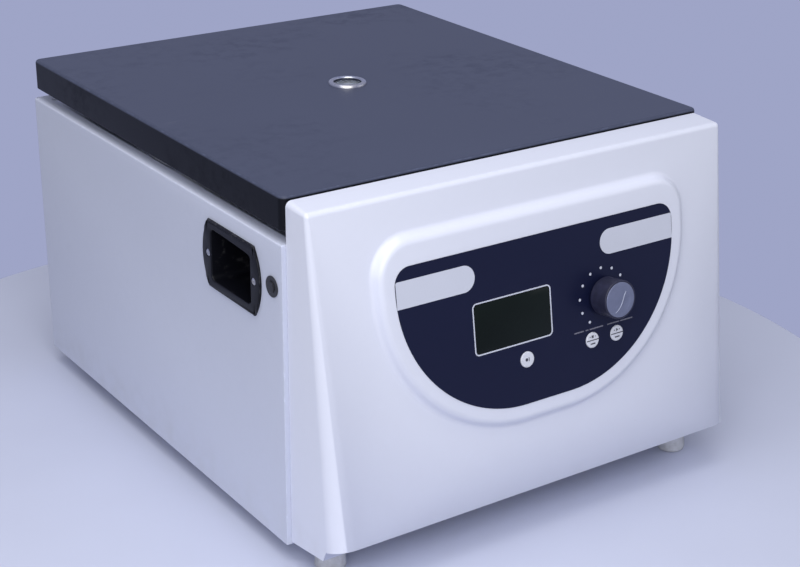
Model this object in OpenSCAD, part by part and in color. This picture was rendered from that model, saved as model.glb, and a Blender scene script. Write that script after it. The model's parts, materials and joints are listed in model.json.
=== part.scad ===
// Bench centrifuge for butterfat tubes, with a hinged lid, a tilted control
// panel and a fixed-angle rotor. Millimetres, +Z up, front towards -Y.
// The origin is on the bench under the middle of the whole machine.

/* [Cabinet] */
// Width of the sheet-metal casing
case_w = 404; // [400:1:408]
// Depth of the casing, from the fascia joint to the back
case_d = 443; // [441:0.5:448]
// Height of the casing's top edge over the bench
case_top = 264; // [264:0.5:266]
// Height of the casing's bottom edge over the bench
case_bottom = 17; // [16:0.5:18]
// Sheet thickness of the casing, deck and base pan
sheet = 1.5; // [1.2:0.1:1.6]
// Outer radius of the casing's back corners
case_r = 5; // [4:0.5:6]

/* [Lid] */
// Width of the lid
lid_w = 400; // [398:1:402]
// Depth of the lid
lid_d = 439; // [438:0.5:439.5]
// Height of the lid's skirt
lid_h = 26; // [25:0.5:26]
// Height of the lid's top over the bench
lid_top = 300; // [300:0.5:302]
// Wall of the moulded lid
lid_wall = 3; // [2.5:0.1:3]
// Diameter of the viewport's ring
viewport_d = 33; // [32:0.5:36]

/* [Panel] */
// Width of the moulded fascia
fascia_w = 396; // [394:1:397]
// Tilt of the front and the control panel, degrees from upright
tilt = 8.9; // [8.7:0.1:9.1]
// Wall of the moulded fascia
fascia_wall = 3; // [2.6:0.1:3]
// Half width of the printed overlay
overlay_w2 = 134; // [130:0.5:136]
// Radius of the overlay's bowl-shaped lower edge
overlay_r = 112; // [110:0.5:113]
// Width of the display window
display_w = 74; // [72:0.5:75]
// Height of the display window
display_h = 40; // [39:0.5:41]
// Diameter of the control knob
knob_d = 31; // [29:0.5:32]
// Diameter of the push buttons
button_d = 12.6; // [12:0.2:13]
// Travel of the push buttons and of the knob
press = 0.5; // [0.3:0.1:0.5]

/* [Chamber] */
// Inner radius of the steel bowl
bowl_r = 176; // [174:0.5:177]
// Height of the bowl's floor over the bench
bowl_floor = 97; // [96.5:0.5:97.5]
// Number of tube places in the rotor
places = 8; // [4:1:8]
// Angle of the tube places from upright
tube_tilt = 36; // [35.5:0.5:36.5]
// Bore radius of a tube sleeve
sleeve_r = 13; // [12.5:0.1:13.2]
// Length of a tube sleeve
sleeve_l = 148; // [140:1:150]

/* [Hidden] */
$fn = 64;
eps = 0.01;

// Depth-wise places
back_y = 258.7;
joint_y = back_y - case_d;
lid_front_y = joint_y + 1.9;
lid_back_y = lid_front_y + lid_d;
axis_y = joint_y + 221.5;

// Casing and deck levels
lip_w = 12;
deck_top = case_top - sheet;
deck_bottom = deck_top - sheet;
pan_top = case_bottom + sheet;
case_w2 = case_w / 2;

// Fascia shape
fascia_w2 = fascia_w / 2;
fascia_top = 297.3;
fascia_low = 18.8;
crease_r = 3.5;
toe_r = 17.5;
toe_z = 36.7;
brow_y = joint_y - 23.8;
keel_y = joint_y - 45.4;
keel_z = 25;
lip_slope = 0.68;
tongue_y = joint_y - 34.5;

// Panel plane: the overlay's outer surface at the height panel_z
panel_y = joint_y - 52.8;
panel_z = 180;
film_t = 0.5;
stand_out = 8.2;
rim = 13.5;
overlay_cx = 22;
overlay_cy = 46;
overlay_top = 66;
overlay_corner = 14;
platform_top = 85.5;
platform_corner = 24;
display_at = [-30.1, 4];
display_corner = 3;
button_at = [[-19.2, -30.2], [45.9, -30.2], [71, -30.2]];
button_clear = 0.3;
button_proud = 0.8;
knob_at = [58.5, 4.2];
knob_base = 3.5;
knob_top = 22;
board_n = -14;
board_t = 1.6;
switch_h = 3.9;
lcd_n = -9.6;
encoder_bush_r = 3.5;
encoder_shaft_r = 3;
screw_hole_r = 1.7;

// Handle recesses
cup_y = joint_y + 74;
cup_z = 223.5;
cup_w = 88.4;
cup_h = 56;
cup_straight = 70;
cup_bow_r = 46;
cup_flange = 2;
cup_depth = 34;
pocket_w = 60;
pocket_h = 42;
cup_screw_dy = 35.2;

// Feet
foot_r = 12.5;
foot_x = 176;
foot_front_y = joint_y - 20.5;
foot_back_y = back_y - 32;

// Rotor and drive
bowl_wall = 1.2;
bowl_flange_r = bowl_r + 12;
bowl_corner = 20;
boot_r = 34;
shaft_r = 6;
shaft_top = 229;
motor_r = 55;
motor_flange_r = 70;
motor_flange_z = 44;
motor_bottom = 24;
motor_top = 90;
bearing_h = 10;
top_bearing_z = motor_top - bearing_h;
core_z = 40;
core_h = 30;
core_r = 41;
magnet_r = 26;
damper_r = 13;
damper_off = 74;
rotor_low = 104;
rotor_plate_z = 128;
rotor_deck_z = 202;
rotor_top = 218;
mouth_r = 68;
mouth_z = 232;
sleeve_wall = 1.4;
cushion_t = 6;
bearing_r = 16;

// Lid stack
lid_bottom = lid_top - lid_h;
liner_z = lid_bottom + 1.2;
liner_t = 2;
gasket_top = liner_z - 0.3;
view_x = -4;
lid_screw_at = [for (x = [-178, 178], y = [lid_front_y + 14, lid_back_y - 24]) [x, y]];

// Hinge
hinge_y = back_y - 5;
hinge_z = case_top + 4.8;
hinge_x = 130;
knuckle_r = 3.8;
hinge_pin_r = 2;
hinge_w = 50;
knuckle_mid = 20;
hinge_screw_y = hinge_y - 18;
hinge_screw_dx = 18;

// Fascia screws
fascia_screw_x = 195;
fascia_screw_z = [60, 150, 235];

// Latch
latch_y = joint_y + 14;
latch_pivot_x = 12;
latch_pivot_z = 240;
nose_z = 254;
striker_r = 2.2;
striker_z = nose_z - striker_r - 0.8;
striker_half = 5;
release_z = 228;
release_r = 4.5;
hook_rest = 25;
plunger_out = 5.5;
plunger_tip = latch_pivot_x + 5.55;
hook_t = 4;

// Back connections
inlet_at = [-138, 62];
switch_at = [-86, 62];
fuse_at = [-50, 62];
rocker_rest = 8;
rocker_depth = 3.7;

// Drive board and heat sink
board_x = -186;
board_y = back_y - 78.3;
board_w = 150;
fin_h = 74;

// Place children on the panel: X along it, Y up it, Z out of it
module on_panel() {
  translate([0, panel_y, panel_z]) rotate([90 - tilt, 0, 0]) children();
}

// Place children at the rotor axis
module on_axis() {
  translate([0, axis_y, 0]) children();
}

// Place children on the back wall: X runs towards -X, Y up, Z out of the wall
module on_back(at) {
  translate([at[0], back_y, at[1]]) rotate([90, 0, 180]) children();
}

// Rectangle with round corners, centred
module round_rect(w, h, r) {
  square([w - 2 * r, h], center = true);
  square([w, h - 2 * r], center = true);
  for (x = [-1, 1], y = [-1, 1]) translate([x * (w / 2 - r), y * (h / 2 - r)]) circle(r);
}

// Bowl-shaped panel outline, grown all round by grow and at the top by rise
module panel_outline(grow, rise, corner) {
  w2 = overlay_w2 + grow;
  r = overlay_r + grow;
  top = overlay_top + rise;
  intersection() {
    union() {
      for (x = [-1, 1]) translate([x * overlay_cx, overlay_cy]) circle(r, $fn = 160);
      translate([-overlay_cx, overlay_cy - r]) square([2 * overlay_cx, r]);
    }
    translate([-w2, overlay_cy - r - 1]) square([2 * w2, r + 1]);
  }
  translate([-w2, overlay_cy - eps]) square([2 * w2, top - corner - overlay_cy + eps]);
  translate([-w2 + corner, overlay_cy]) square([2 * (w2 - corner), top - overlay_cy]);
  for (x = [-1, 1]) translate([x * (w2 - corner), top - corner]) circle(corner);
}

// Handle recess outline: straight top and bottom, bowed ends
module cup_outline(w, h, straight, bow) {
  square([straight, h], center = true);
  for (x = [-1, 1]) intersection() {
    translate([x * (w / 2 - bow), 0]) circle(bow);
    translate([x * w / 4, 0]) square([w / 2, h], center = true);
  }
}

// Pan-head screw with a cross recess, head up, seat at z = 0
module cross_screw(head_r, head_h, shank_r, shank_l) {
  difference() {
    union() {
      cylinder(r = head_r, h = head_h * 0.6);
      translate([0, 0, head_h * 0.6]) cylinder(r1 = head_r, r2 = head_r * 0.72, h = head_h * 0.4);
      translate([0, 0, -shank_l]) cylinder(r = shank_r, h = shank_l + eps);
    }
    for (a = [0, 90]) rotate([0, 0, a]) translate([0, 0, head_h])
      cube([head_r * 1.1, head_r * 0.26, head_h], center = true);
  }
}

// Solid envelope of the fascia, drawn in by wall on every side but the joint
module fascia_form(wall) {
  w2 = fascia_w2 - wall;
  back = joint_y - (wall > 0 ? wall : 0);
  r1 = max(crease_r - wall, 0.5);
  r2 = toe_r - wall;
  brow_z = fascia_top - 2 - crease_r;
  toe_y = brow_y - (brow_z - toe_z) * tan(tilt) + (toe_r - crease_r) / cos(tilt);
  difference() {
    hull() {
      for (x = [-1, 1]) {
        translate([x * (w2 - r1), brow_y, brow_z]) sphere(r1, $fn = 32);
        translate([x * (w2 - r2), toe_y, toe_z]) sphere(r2, $fn = 48);
      }
      translate([-w2, back - 1, case_bottom - 1 + wall])
        cube([2 * w2, 1, fascia_top - case_bottom + 1 - 2 * wall]);
    }
    translate([0, 0, wall]) underside();
  }
}

// Space under the fascia: nearly level from the joint, then steep up to the sharp front lip
module underside() {
  reach = 50;
  translate([-fascia_w2 - 1, 0, 0]) rotate([90, 0, 90]) linear_extrude(fascia_w + 2) polygon([
    [joint_y + 1, -10], [joint_y + 1, fascia_low], [joint_y, fascia_low], [keel_y, keel_z],
    [keel_y - reach, keel_z + reach * lip_slope], [keel_y - reach, -10]
  ]);
}

module base_pan() {
  color("gainsboro") difference() {
    union() {
      translate([-case_w2 + sheet + 0.2, joint_y + 0.3, case_bottom])
        cube([case_w - 2 * sheet - 0.4, case_d - sheet - 0.5, sheet]);
      for (x = [-1, 1]) translate([x * (case_w2 - 1.5 * sheet - 0.2) - sheet / 2, joint_y + 2, case_bottom])
        cube([sheet, case_d - sheet - 10, 14]);
      translate([-185, tongue_y, case_bottom]) cube([370, joint_y - tongue_y + 2.5, sheet]);
    }
    for (x = [-foot_x, foot_x], y = [foot_front_y, foot_back_y])
      translate([x, y, case_bottom - 1]) cylinder(r = 2.2, h = sheet + 2);
    on_axis() for (a = [0:24:359]) rotate([0, 0, a])
      translate([118, -3, case_bottom - 1]) cube([34, 6, sheet + 2]);
  }
}

// Left, right and back walls from one sheet, with lips turned in at the top and front
module casing_shell() {
  color("lavender") difference() {
    translate([0, 0, case_bottom]) linear_extrude(case_top - case_bottom) difference() {
      union() {
        translate([-case_w2, joint_y + 0.2]) square([case_w, case_d - case_r]);
        translate([-case_w2 + case_r, joint_y + case_d - case_r - 1])
          square([case_w - 2 * case_r, case_r + 1]);
        for (x = [-1, 1]) translate([x * (case_w2 - case_r), back_y - case_r]) circle(case_r);
      }
      translate([-case_w2 + lip_w, joint_y - 1]) square([case_w - 2 * lip_w, case_d - lip_w + 1]);
    }
    translate([-case_w2 + sheet, joint_y + 0.2 + sheet, case_bottom - 1])
      cube([case_w - 2 * sheet, case_d - 2 * sheet - 0.2, case_top - case_bottom - sheet + 1]);
    translate([-case_w2 + sheet, joint_y - 1, case_bottom - 1]) cube([case_w - 2 * sheet, 5, 6]);
    translate([-case_w2 + sheet, joint_y - 1, deck_bottom - 0.3])
      cube([case_w - 2 * sheet, 5, sheet + 0.3]);
    for (x = [-1, 1], z = fascia_screw_z) translate([x * fascia_screw_x, joint_y, z])
      rotate([90, 0, 0]) cylinder(r = screw_hole_r, h = 8, center = true);
    for (x = [-case_w2, case_w2]) translate([x, cup_y, cup_z]) rotate([0, 90, 0])
      cube([pocket_h + 6, pocket_w + 6, 8], center = true);
    for (x = [-case_w2, case_w2], dy = [-cup_screw_dy, cup_screw_dy])
      translate([x, cup_y + dy, cup_z]) rotate([0, 90, 0]) cylinder(r = 1.6, h = 8, center = true);
    translate([-case_w2, latch_y, release_z]) rotate([0, 90, 0]) cylinder(r = 7, h = 8, center = true);
    on_back(inlet_at) cube([28.6, 22, 8], center = true);
    on_back(switch_at) cube([20.4, 27.4, 8], center = true);
    on_back(fuse_at) cylinder(r = 6.2, h = 8, center = true);
    for (x = [20:12:140], z = [52, 78]) translate([x, back_y, z]) cube([5, 8, 20], center = true);
  }
}

module top_deck() {
  color("silver") difference() {
    translate([-case_w2 + sheet + 0.3, joint_y + 0.5, deck_bottom])
      cube([case_w - 2 * sheet - 0.6, case_d - sheet - 0.8, sheet]);
    on_axis() translate([0, 0, deck_bottom - 1]) cylinder(r = bowl_r + bowl_wall + 0.4, h = 4, $fn = 160);
    translate([-10, latch_y - 10, deck_bottom - 1]) cube([20, 20, 4]);
    for (x = [-hinge_x, hinge_x], dx = [-hinge_screw_dx, hinge_screw_dx])
      translate([x + dx, hinge_screw_y, deck_bottom - 1])
      cylinder(r = screw_hole_r, h = 4);
  }
}

// Moulded front, with the raised panel platform, open at the back below the deck
module fascia() {
  color("ghostwhite") difference() {
    union() {
      fascia_form(0);
      on_panel() hull() {
        translate([0, 0, -film_t - 0.2]) linear_extrude(0.2)
          panel_outline(rim, platform_top - overlay_top, platform_corner);
        translate([0, 0, -stand_out - 2]) linear_extrude(0.2)
          panel_outline(rim + 8, platform_top - overlay_top + 4, platform_corner + 5);
      }
    }
    fascia_form(fascia_wall);
    on_panel() hull() {
      translate([0, 0, -film_t - fascia_wall - 0.2]) linear_extrude(0.2)
        panel_outline(rim - 3, platform_top - overlay_top - 3, platform_corner - 3);
      translate([0, 0, -stand_out - 6]) linear_extrude(0.2)
        panel_outline(rim + 4, platform_top - overlay_top, platform_corner);
    }
    translate([-fascia_w2 + 6, joint_y - 6, 24]) cube([fascia_w - 12, 12, deck_bottom - 24]);
    for (x = [-1, 1], z = fascia_screw_z) translate([x * fascia_screw_x, joint_y - 2, z])
      rotate([90, 0, 0]) cylinder(r = screw_hole_r, h = 8, center = true);
    on_panel() {
      translate([display_at[0], display_at[1], 0])
        cube([display_w + 0.4, display_h + 0.4, 20], center = true);
      for (b = button_at) translate([b[0], b[1], -10]) cylinder(d = button_d + 2 * button_clear, h = 20);
      translate([knob_at[0], knob_at[1], -10]) cylinder(r = encoder_bush_r + 0.2, h = 20);
    }
  }
}

module control_overlay() {
  color("midnightblue") on_panel() translate([0, 0, -film_t]) linear_extrude(film_t) difference() {
    panel_outline(0, 0, overlay_corner);
    translate(display_at) round_rect(display_w, display_h, display_corner);
    for (b = button_at) translate(b) circle(d = button_d + 2 * button_clear);
    translate(knob_at) circle(6.2);
  }
}

module display_window() {
  color([0.05, 0.08, 0.05, 0.8]) on_panel()
    translate([display_at[0], display_at[1], -film_t - fascia_wall + 0.1]) {
    linear_extrude(fascia_wall - 0.1) square([display_w, display_h], center = true);
    linear_extrude(fascia_wall + film_t - 0.3) round_rect(display_w - 0.3, display_h - 0.3, display_corner);
  }
}

module lcd_module() {
  color("dimgray") on_panel() translate([display_at[0], display_at[1], lcd_n])
    linear_extrude(5.8) round_rect(86, 50, 2);
}

module control_board() {
  color("seagreen") on_panel() difference() {
    union() {
      translate([-82, -44, board_n]) cube([172, 84, board_t]);
      for (x = [-66, 6], y = [-16, 24]) translate([x, y, board_n + board_t - eps])
        cylinder(r = 2.5, h = lcd_n - board_n - board_t + eps);
    }
    for (x = [-78, 86], y = [-40, 36]) translate([x, y, board_n - 1]) cylinder(r = screw_hole_r, h = 4);
  }
}

module tact_switches() {
  color("black") on_panel() for (b = button_at) translate([b[0], b[1], board_n + board_t]) {
    translate([-3, -3, 0]) cube([6, 6, switch_h - 0.7]);
    cylinder(r = 1.7, h = switch_h);
  }
}

module encoder_body() {
  color("darkgray") on_panel() translate([knob_at[0], knob_at[1], board_n + board_t]) difference() {
    union() {
      translate([-6.5, -6.5, 0]) cube([13, 13, 7]);
      cylinder(r = encoder_bush_r, h = 14);
    }
    translate([0, 0, 1.2]) cylinder(r = encoder_shaft_r + 0.05, h = 20);
    translate([0, 0, 1.2]) cylinder(r = 4.6, h = 4.2);
  }
}

module encoder_nut() {
  color("silver") on_panel() translate([knob_at[0], knob_at[1], -film_t]) difference() {
    cylinder(r = 5.8, h = 2.1, $fn = 6);
    translate([0, 0, -1]) cylinder(r = encoder_bush_r + 0.05, h = 5);
  }
}

// Little carrier inside the encoder that the knob pushes down
module encoder_slider() {
  color("white") on_panel() translate([knob_at[0], knob_at[1], board_n + board_t + 2.6]) difference() {
    cylinder(r = 4.4, h = 1.6);
    translate([0, 0, -1]) cylinder(r = 1.55, h = 4);
  }
}

module encoder_shaft() {
  color("silver") on_panel() translate([knob_at[0], knob_at[1], board_n + board_t]) {
    translate([0, 0, 2.4]) cylinder(r = 1.5, h = 2.6);
    translate([0, 0, 4.5]) cylinder(r = encoder_shaft_r, h = 26.5);
  }
}

module control_knob() {
  color("darkslategray") on_panel() translate([knob_at[0], knob_at[1], knob_base]) difference() {
    union() {
      cylinder(d = knob_d, h = knob_top - knob_base - 1.2, $fn = 96);
      translate([0, 0, knob_top - knob_base - 1.2 - eps])
        cylinder(d1 = knob_d, d2 = knob_d - 1.2, h = 0.8, $fn = 96);
    }
    translate([0, 0, knob_top - knob_base - 1.4]) cylinder(d = knob_d - 2.6, h = 5, $fn = 96);
    translate([0, 0, -1]) cylinder(r = encoder_shaft_r + 0.02, h = 16.2);
    translate([0, 0, -1]) cylinder(r = 9, h = 4);
  }
}

module knob_cap() {
  color("lightslategray") on_panel() translate([knob_at[0], knob_at[1], knob_top - 1.4]) difference() {
    cylinder(d = knob_d - 2.8, h = 1.4, $fn = 96);
    translate([5.5, 2.5, 14.8]) sphere(r = 14);
  }
}

// One push button: cap, retaining flange and stem
module push_button(at) {
  stem_n = board_n + board_t + switch_h + press + 0.1;
  on_panel() translate([at[0], at[1], 0]) {
    translate([0, 0, -3.9]) cylinder(d = button_d, h = 3.9 + button_proud);
    translate([0, 0, -5.2]) cylinder(d = button_d + 2.6, h = 1.4);
    translate([0, 0, stem_n]) cylinder(r = 2.4, h = -5.1 - stem_n);
  }
}

module display_button() {
  color("white") push_button(button_at[0]);
}

module stop_button() {
  color("white") push_button(button_at[1]);
}

module start_button() {
  color("white") push_button(button_at[2]);
}

// Moulded finger recess for the +X side wall; the other side is its mirror
module handle_cup() {
  translate([case_w2, cup_y, cup_z]) rotate([90, 0, 90]) difference() {
    union() {
      linear_extrude(cup_flange) cup_outline(cup_w, cup_h, cup_straight, cup_bow_r);
      translate([0, 0, -cup_depth]) linear_extrude(cup_depth)
        square([pocket_w + 5, pocket_h + 5], center = true);
    }
    translate([0, 0, -cup_depth + 2.5]) linear_extrude(cup_depth + 10)
      square([pocket_w, pocket_h], center = true);
    for (x = [-cup_screw_dy, cup_screw_dy]) translate([x, 0, -1]) {
      cylinder(r = screw_hole_r, h = 8);
      translate([0, 0, cup_flange - 0.2]) cylinder(r = 3.2, h = 4);
    }
  }
}

module handle_cup_right() {
  color("dimgray") handle_cup();
}

module handle_cup_left() {
  color("dimgray") mirror([1, 0, 0]) handle_cup();
}

module handle_screws() {
  color("silver") for (s = [-1, 1], y = [-cup_screw_dy, cup_screw_dy])
    translate([s * (case_w2 + cup_flange - 1.2), cup_y + y, cup_z]) rotate([0, s * 90, 0])
      cross_screw(3, 1.2, 1.5, 7);
}

module rubber_feet() {
  color("dimgray") for (x = [-foot_x, foot_x], y = [foot_front_y, foot_back_y]) translate([x, y, 0])
    difference() {
    rotate_extrude() polygon([
      [0, 0], [foot_r - 3, 0], [foot_r - 1, 1], [foot_r, 3.5],
      [foot_r - 1.5, case_bottom], [0, case_bottom]
    ]);
    translate([0, 0, -1]) cylinder(r = 5, h = 8);
    translate([0, 0, -1]) cylinder(r = 2.2, h = case_bottom + 2);
  }
}

module foot_screws() {
  color("silver") for (x = [-foot_x, foot_x], y = [foot_front_y, foot_back_y]) translate([x, y, 7])
    rotate([180, 0, 0]) cross_screw(3.8, 2.4, 2, 13.5);
}

module chamber_bowl() {
  color("lightsteelblue") on_axis() rotate_extrude($fn = 160) difference() {
    union() {
      translate([boot_r, bowl_floor - bowl_wall]) square([bowl_r - bowl_corner - boot_r, bowl_wall]);
      translate([bowl_r - bowl_corner, bowl_floor - bowl_wall]) intersection() {
        translate([0, bowl_corner + bowl_wall]) circle(bowl_corner + bowl_wall);
        square([bowl_corner + 10, bowl_corner + bowl_wall]);
      }
      translate([bowl_r, bowl_floor + bowl_corner - 0.1])
        square([bowl_wall, deck_top + bowl_wall - bowl_floor - bowl_corner + 0.1]);
      translate([bowl_r, deck_top]) square([bowl_flange_r - bowl_r, bowl_wall]);
      translate([boot_r, bowl_floor - bowl_wall]) square([bowl_wall, 9]);
    }
    translate([bowl_r - bowl_corner, bowl_floor + bowl_corner]) circle(bowl_corner);
    translate([boot_r + bowl_wall, bowl_floor]) square([bowl_r - bowl_corner - boot_r - bowl_wall, 60]);
    translate([bowl_r - bowl_corner - 4, bowl_floor + bowl_corner]) square([bowl_corner + 4, 200]);
  }
}

module chamber_gasket() {
  low = deck_top + bowl_wall;
  color("dimgray") on_axis() rotate_extrude($fn = 160) difference() {
    translate([bowl_r + 1, low]) square([9, gasket_top - low]);
    translate([bowl_r + 10.5, low + 5.8]) circle(2.6);
  }
}

module shaft_boot() {
  color("black") on_axis() rotate_extrude($fn = 96) polygon([
    [19.5, motor_top], [24, motor_top], [24, motor_top + 5], [boot_r + 3.5, motor_top + 5],
    [boot_r + 3.5, bowl_floor - bowl_wall - 0.05], [boot_r - 0.3, bowl_floor - bowl_wall - 0.05],
    [boot_r - 0.5, bowl_floor + 2], [22, bowl_floor + 3], [19.5, bowl_floor + 1]
  ]);
}

// Hollow motor body with bearing seats at both ends
module motor_housing() {
  color("slategray") on_axis() rotate_extrude($fn = 96) difference() {
    union() {
      translate([0, motor_bottom]) square([46, motor_flange_z - motor_bottom]);
      translate([0, motor_flange_z]) square([motor_flange_r, 5]);
      translate([0, motor_flange_z]) square([motor_r, top_bearing_z - motor_flange_z]);
      translate([0, top_bearing_z - 1]) square([19.4, bearing_h + 5]);
    }
    translate([0, core_z - 4]) square([core_r, core_h + 8]);
    translate([0, motor_bottom + 3]) square([bearing_r, bearing_h]);
    translate([0, top_bearing_z]) square([bearing_r, bearing_h]);
    translate([0, motor_bottom - 1]) square([shaft_r + 3, 90]);
  }
}

module stator_core() {
  color("peru") on_axis() translate([0, 0, core_z]) difference() {
    cylinder(r = core_r, h = core_h, $fn = 96);
    translate([0, 0, -1]) cylinder(r = magnet_r + 1, h = core_h + 2, $fn = 96);
    for (a = [0:30:359]) rotate([0, 0, a]) translate([magnet_r, -3, -1]) cube([8, 6, core_h + 2]);
  }
}

module motor_bearings() {
  color("silver") on_axis() for (z = [motor_bottom + 3, top_bearing_z]) translate([0, 0, z]) difference() {
    cylinder(r = bearing_r, h = bearing_h);
    translate([0, 0, -1]) cylinder(r = shaft_r + 0.02, h = bearing_h + 2);
  }
}

module motor_plate() {
  color("gray") on_axis() translate([0, 0, motor_flange_z - 4]) difference() {
    linear_extrude(4) round_rect(2 * damper_off + 34, 2 * damper_off + 34, 16);
    translate([0, 0, -1]) cylinder(r = 46.4, h = 6, $fn = 96);
    for (x = [-1, 1], y = [-1, 1]) translate([x * damper_off, y * damper_off, -1]) cylinder(r = 3.2, h = 6);
  }
}

module motor_dampers() {
  color("black") on_axis() for (x = [-1, 1], y = [-1, 1]) translate([x * damper_off, y * damper_off, 0]) {
    translate([0, 0, pan_top]) cylinder(r = damper_r, h = motor_flange_z - 4 - pan_top);
    translate([0, 0, motor_flange_z - 5]) cylinder(r = 3, h = 10);
    translate([0, 0, motor_flange_z]) cylinder(r = 6, h = 4, $fn = 6);
  }
}

module drive_shaft() {
  color("silver") on_axis() {
    translate([0, 0, motor_bottom + 3.5]) cylinder(r = shaft_r, h = shaft_top - motor_bottom - 22);
    translate([0, 0, rotor_low - 9]) cylinder(r = shaft_r + 4, h = 9);
    translate([0, 0, rotor_deck_z + 3]) cylinder(r = 4, h = shaft_top - rotor_deck_z - 3);
  }
}

module motor_magnet() {
  color("dimgray") on_axis() translate([0, 0, core_z]) difference() {
    cylinder(r = magnet_r, h = core_h, $fn = 96);
    translate([0, 0, -1]) cylinder(r = shaft_r, h = core_h + 2);
  }
}

// Place children in each tube place: Z runs down the tube from its mouth
module at_places() {
  on_axis() for (i = [0:places - 1]) rotate([0, 0, i * 360 / places])
    translate([mouth_r, 0, mouth_z]) rotate([0, 180 - tube_tilt, 0]) children();
}

module rotor_head() {
  color("silver") difference() {
    on_axis() rotate_extrude($fn = 120) polygon([
      [shaft_r + 0.02, rotor_low], [30, rotor_low], [30, rotor_low + 14], [26, rotor_plate_z - 4],
      [26, rotor_plate_z], [168, rotor_plate_z], [170, rotor_plate_z + 2], [170, rotor_plate_z + 6],
      [26, rotor_plate_z + 6], [26, rotor_deck_z], [108, rotor_deck_z], [110, rotor_deck_z + 2],
      [110, rotor_deck_z + 6], [30, rotor_deck_z + 10], [22, rotor_top], [shaft_r + 0.02, rotor_top]
    ]);
    at_places() translate([0, 0, 4]) cylinder(r = sleeve_r + sleeve_wall + 0.1, h = 170);
  }
}

module tube_sleeves() {
  color("gainsboro") at_places() difference() {
    union() {
      cylinder(r = sleeve_r + sleeve_wall, h = sleeve_l);
      cylinder(r = sleeve_r + 3.2, h = 2.5);
    }
    translate([0, 0, -1]) cylinder(r = sleeve_r, h = sleeve_l - cushion_t - 0.5);
    translate([0, 0, 5]) cylinder(r = sleeve_r - 0.6, h = sleeve_l - 6.5);
  }
}

module sleeve_cushions() {
  color("black") at_places() translate([0, 0, sleeve_l - 1.5 - cushion_t])
    cylinder(r = sleeve_r - 0.8, h = cushion_t);
}

module rotor_nut() {
  color("dimgray") on_axis() difference() {
    union() {
      translate([0, 0, rotor_top]) cylinder(r = 16, h = 5);
      translate([0, 0, rotor_top + 5]) cylinder(r = 13, h = 9);
      translate([0, 0, rotor_top + 14]) cylinder(r1 = 13, r2 = 10, h = 3);
    }
    translate([0, 0, rotor_top - 1]) cylinder(r = 4.02, h = 13);
    for (a = [0:60:359]) rotate([0, 0, a]) translate([15.5, 0, rotor_top + 5]) cylinder(r = 4, h = 20);
  }
}

module latch_bracket() {
  color("gainsboro") difference() {
    union() {
      for (y = [-9.5, 8]) translate([-18, latch_y + y, 216]) cube([92, sheet, deck_bottom - 216]);
      translate([-18, latch_y - 9.5, 216]) cube([92, 19, sheet]);
      translate([-18, latch_y - 19, deck_bottom - sheet]) cube([92, 11, sheet]);
      translate([-18, latch_y + 8, deck_bottom - sheet]) cube([92, 11, sheet]);
    }
    translate([latch_pivot_x, latch_y - 15, latch_pivot_z]) rotate([-90, 0, 0]) cylinder(r = 2, h = 30);
  }
}

module latch_pin() {
  color("silver") translate([latch_pivot_x, latch_y - 11, latch_pivot_z]) rotate([-90, 0, 0]) {
    cylinder(r = 2, h = 22);
    cylinder(r = 3.2, h = 1.4);
  }
}

// Hook for the striker bar, swung clear of it; the plunger and the stirrup move its tail
module latch_hook() {
  color("silver") translate([latch_pivot_x, latch_y + hook_t / 2, latch_pivot_z]) rotate([0, hook_rest, 0])
    rotate([90, 0, 0]) linear_extrude(hook_t) difference() {
      union() {
        circle(5.5);
        polygon([
          [-4, release_z - latch_pivot_z - 7], [-1.2, release_z - latch_pivot_z - 7],
          [-1.2, release_z - latch_pivot_z - 2.7], [4.2, release_z - latch_pivot_z - 2.7],
          [5, nose_z - latch_pivot_z],
          [3, nose_z - latch_pivot_z + 3.5], [-14, nose_z - latch_pivot_z + 3.5],
          [-15, nose_z - latch_pivot_z],
          [-7, nose_z - latch_pivot_z], [-5, nose_z - latch_pivot_z - 2], [-5, 0]
        ]);
      }
      circle(2.05);
    }
}

module lock_solenoid() {
  color("darkgray") difference() {
    translate([30, latch_y - 7.9, 219]) cube([38, 15.8, 18]);
    translate([20, latch_y, release_z]) rotate([0, 90, 0]) cylinder(r = 4.05, h = 40);
  }
}

// Plunger pushed out against the hook's tail
module solenoid_plunger() {
  color("silver") translate([-plunger_out, latch_y, release_z]) rotate([0, 90, 0]) {
    translate([0, 0, 26.2]) cylinder(r = 4, h = 32);
    translate([0, 0, plunger_tip]) cylinder(r = 2, h = 9);
  }
}

// Plug in the side wall with its rod and stirrup; pulled outwards it frees the lid by hand
module release_pull() {
  color("black") translate([0, latch_y, release_z]) {
    rotate([0, -90, 0]) {
      translate([0, 0, case_w2 - 8]) cylinder(r = release_r, h = 9.6);
      translate([0, 0, case_w2 + 1.6 - eps]) cylinder(r1 = release_r, r2 = release_r - 0.8, h = 0.4);
      translate([0, 0, 5]) cylinder(r = 1.6, h = case_w2 - 9);
    }
    translate([-6.5, -3.6, -5.5]) cube([3, 7.2, 8.5]);
    for (y = [-3.6, 2.4]) translate([-6.5, y, -5.5]) cube([25.5, 1.2, 8.5]);
    translate([17, -3.6, -5.5]) cube([2, 7.2, 2.5]);
  }
}

module release_sleeve() {
  color("black") translate([0, latch_y, release_z]) rotate([0, -90, 0]) difference() {
    union() {
      translate([0, 0, case_w2 - 14]) cylinder(r = 6.8, h = 14);
      translate([0, 0, case_w2]) cylinder(r = 8.2, h = 1);
    }
    translate([0, 0, case_w2 - 12]) cylinder(r = release_r + 0.06, h = 20);
    translate([0, 0, case_w2 - 20]) cylinder(r = 1.7, h = 20);
  }
}

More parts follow.
